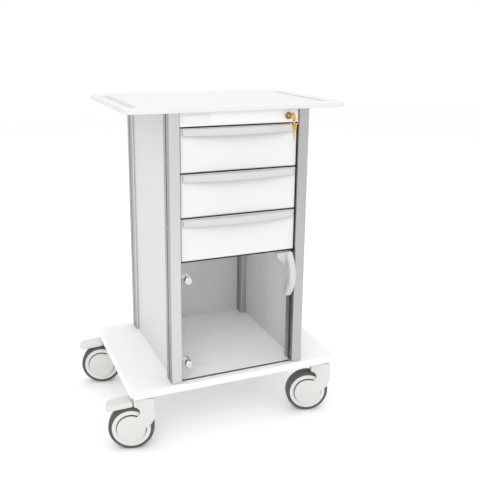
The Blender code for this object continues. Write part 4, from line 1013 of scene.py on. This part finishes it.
def wheel_surface():
    """The wheel's half section about its axle, mirrored: bore, web, recess and a rounded outer ring."""
    turn = np.linspace(0, math.pi / 2, 5)
    edge = np.stack([0.0522 - 0.0012 * (1 - np.cos(turn)), 0.0162 - 0.0012 * (1 - np.sin(turn))], 1)
    half = np.concatenate([[(0.0065, 0.0080), (0.0400, 0.0080), (0.0410, 0.0090), (0.0410, 0.0155),
                            (0.0417, 0.0162), (0.0490, 0.0162), (0.0494, 0.0157), (0.0498, 0.0162)],
                           edge[::-1]])
    return turned(np.concatenate([half, half[::-1] * (1, -1)]), 96)


def painted_shade_ring_surface():
    """A near-black ring in the gap between the hub cover and the rim, on both sides of the wheel: painted shade.
    """
    section = np.array([(0.0384, 0.0095), (0.0408, 0.0095), (0.0408, 0.0168), (0.0404, 0.0171),
                        (0.0388, 0.0171), (0.0384, 0.0168)])
    ring = turned(section, 80)
    return join(ring, moved(ring, Matrix.Rotation(math.pi, 4, "X")))


def tyre_surface():
    """The tyre's section: upright sides, shoulders that turn as quarter ellipses, a slight crown."""
    turn = np.linspace(0, math.pi / 2, 9)
    shoulder = np.stack([0.0570 + 0.0052 * np.sin(turn), 0.0085 + 0.0065 * np.cos(turn)], 1)
    half = np.concatenate([[(0.0525, 0.0144), (0.0529, 0.0150)], shoulder, [(0.0625, 0.0)]])
    mirrored = half[:-1][::-1] * (1, -1)
    return turned(np.concatenate([half, mirrored]), 112)


print("fork arm has", len(arm_outline()), "points")

# %% The brake pedal's shape
PEDAL_WIDTH, PEDAL_THICK, PEDAL_CORNER = 0.0450, 0.0150, 0.0170
PEDAL_START, PEDAL_END = 0.0110, 0.0850
PEDAL_TILT = math.radians(11)


def pedal_surface():
    """The pedal about its pivot, pointing to -X: a round-ended tongue and the lug it turns on."""
    half = PEDAL_WIDTH / 2
    tip = -PEDAL_END + PEDAL_CORNER
    root = -PEDAL_START
    plan = np.concatenate([arc((root - 0.004, half - 0.004), 0.004, 0, 90, 5),
                           arc((tip, half - PEDAL_CORNER), PEDAL_CORNER, 90, 180, 12),
                           arc((tip, -half + PEDAL_CORNER), PEDAL_CORNER, 180, 270, 12),
                           arc((root - 0.004, -half + 0.004), 0.004, 270, 360, 5)])
    tongue = plate(plan, round_edge(-PEDAL_THICK / 2, PEDAL_THICK / 2, 0.0030, 0.0052, 7))
    lug_outline = np.concatenate([arc((0, 0), 0.005, -90, 90, 12),
                                  [(root - 0.008, 0.005), (root - 0.008, -0.005)]])
    lug = moved(plate(lug_outline, round_edge(-0.011, 0.011, 0.0004, 0.0004, 2)), UPRIGHT)
    return combined(tongue, [(lug, "UNION")])


fork_plain, fork_braked = fork_surface(False), fork_surface(True)
wheel, tyre, painted_shade_ring, pedal = wheel_surface(), tyre_surface(), painted_shade_ring_surface(), pedal_surface()
print("pedal has", len(pedal[1]), "faces, fork", len(fork_plain[1]))

# %% The four casters
lateral = JOINTS["wheel_spin_front_left"]["axis"]
trail_turn = Matrix.Rotation(-math.atan2(lateral[0], lateral[1]), 4, "Z")
for end, _ in ENDS:
    for side, _ in SIDES:
        corner = f"{end}_{side}"
        axle = Matrix.Translation(JOINTS["wheel_spin_" + corner]["pos_m"]) @ trail_turn
        make_piece("fork_" + corner, moved(fork_braked if side == "left" else fork_plain, axle),
                   "caster_" + corner, "caster_grey", ["caster_fork_" + corner], sharp=38)
        round_axle = axle @ UPRIGHT
        make_piece("rim_" + corner, moved(wheel, round_axle), "wheel_" + corner, "rim_grey",
                   ["caster_wheel_" + corner])
        # The dark ring in the wheel's gap is painted shade.
        make_piece("painted_shade_ring_" + corner, moved(painted_shade_ring, round_axle), "wheel_" + corner, "tyre_grey", (),
                   PAINTED_SHADE_BLACK)
        make_piece("tyre_" + corner, moved(tyre, round_axle), "wheel_" + corner, "tyre_grey",
                   ["caster_tyre_" + corner])
        if side == "left":
            pivot = (Matrix.Translation(JOINTS["brake_press_" + corner]["pos_m"]) @ trail_turn
                     @ Matrix.Rotation(-PEDAL_TILT, 4, "Y"))
            make_piece("pedal_" + corner, moved(pedal, pivot), "pedal_" + corner, "caster_grey",
                       ["brake_pedal_" + corner])
print("casters placed at", sorted(name for name in JOINTS if name.startswith("swivel")))

# %% [markdown]
# ## Floor and light
#
# The studio is white: a pale floor that runs out of sight, a bright even sky, and large soft lamps, so
# that the only shadows are the soft ones under the cart. The strongest lamp is to the front left. A small
# lamp under the shelf lifts the compartment, which the shelf and panels would leave too dark.

# %% The floor
FLOOR_SIZE, FLOOR_SEGMENTS = 14.0, 24
steps = np.linspace(-FLOOR_SIZE / 2, FLOOR_SIZE / 2, FLOOR_SEGMENTS + 1)
across, along = np.meshgrid(steps, steps, indexing="ij")
floor_points = np.stack([across, along, np.zeros_like(across)], -1).reshape(-1, 3)
corner_index = (np.arange(FLOOR_SEGMENTS)[:, None] * (FLOOR_SEGMENTS + 1) + np.arange(FLOOR_SEGMENTS)).ravel()
floor_faces = np.stack([corner_index, corner_index + FLOOR_SEGMENTS + 1, corner_index + FLOOR_SEGMENTS + 2,
                        corner_index + 1], 1)
floor_mesh = bpy.data.meshes.new("studio_floor")
floor_mesh.from_pydata(floor_points.tolist(), [], floor_faces.tolist())
floor_mesh.materials.append(plastic("studio_floor", (0.98, 0.98, 0.98), 0.7, 40, 0.02, 0.0))
floor = bpy.data.objects.new("studio_floor", floor_mesh)
bpy.context.scene.collection.objects.link(floor)
print("floor", FLOOR_SIZE, "m across")

# %% The light
SKY_STRENGTH = 1.0
LAMPS = (
    ("key_lamp", (-1.6, -2.6, 2.9), 2.2, 36),
    ("fill_lamp", (2.6, -1.6, 2.0), 2.4, 9),
    ("top_lamp", (0.2, 0.4, 3.4), 2.6, 14),
    ("shelf_lamp", (MIDDLE[0], MIDDLE[1] - 0.02, 0.509), 0.24, 0.23),
)
world = bpy.data.worlds.new("studio_sky")
world.use_nodes = True
sky = world.node_tree.nodes["Background"]
sky.inputs["Color"].default_value = (1.0, 1.0, 1.0, 1)
sky.inputs["Strength"].default_value = SKY_STRENGTH
bpy.context.scene.world = world
AIM = Vector((MIDDLE[0], MIDDLE[1] - 0.02, 0.30))
for name, place, size, power in LAMPS:
    lamp = bpy.data.lights.new(name, "AREA")
    lamp.shape = "SQUARE"
    lamp.size = size
    lamp.energy = power
    holder = bpy.data.objects.new(name, lamp)
    bpy.context.scene.collection.objects.link(holder)
    holder.location = place
    holder.visible_camera = False
    holder.rotation_euler = (AIM - Vector(place)).to_track_quat("-Z", "Y").to_euler()
bpy.context.scene.view_settings.view_transform = "Standard"
print(len(LAMPS), "lamps and a sky of strength", SKY_STRENGTH)
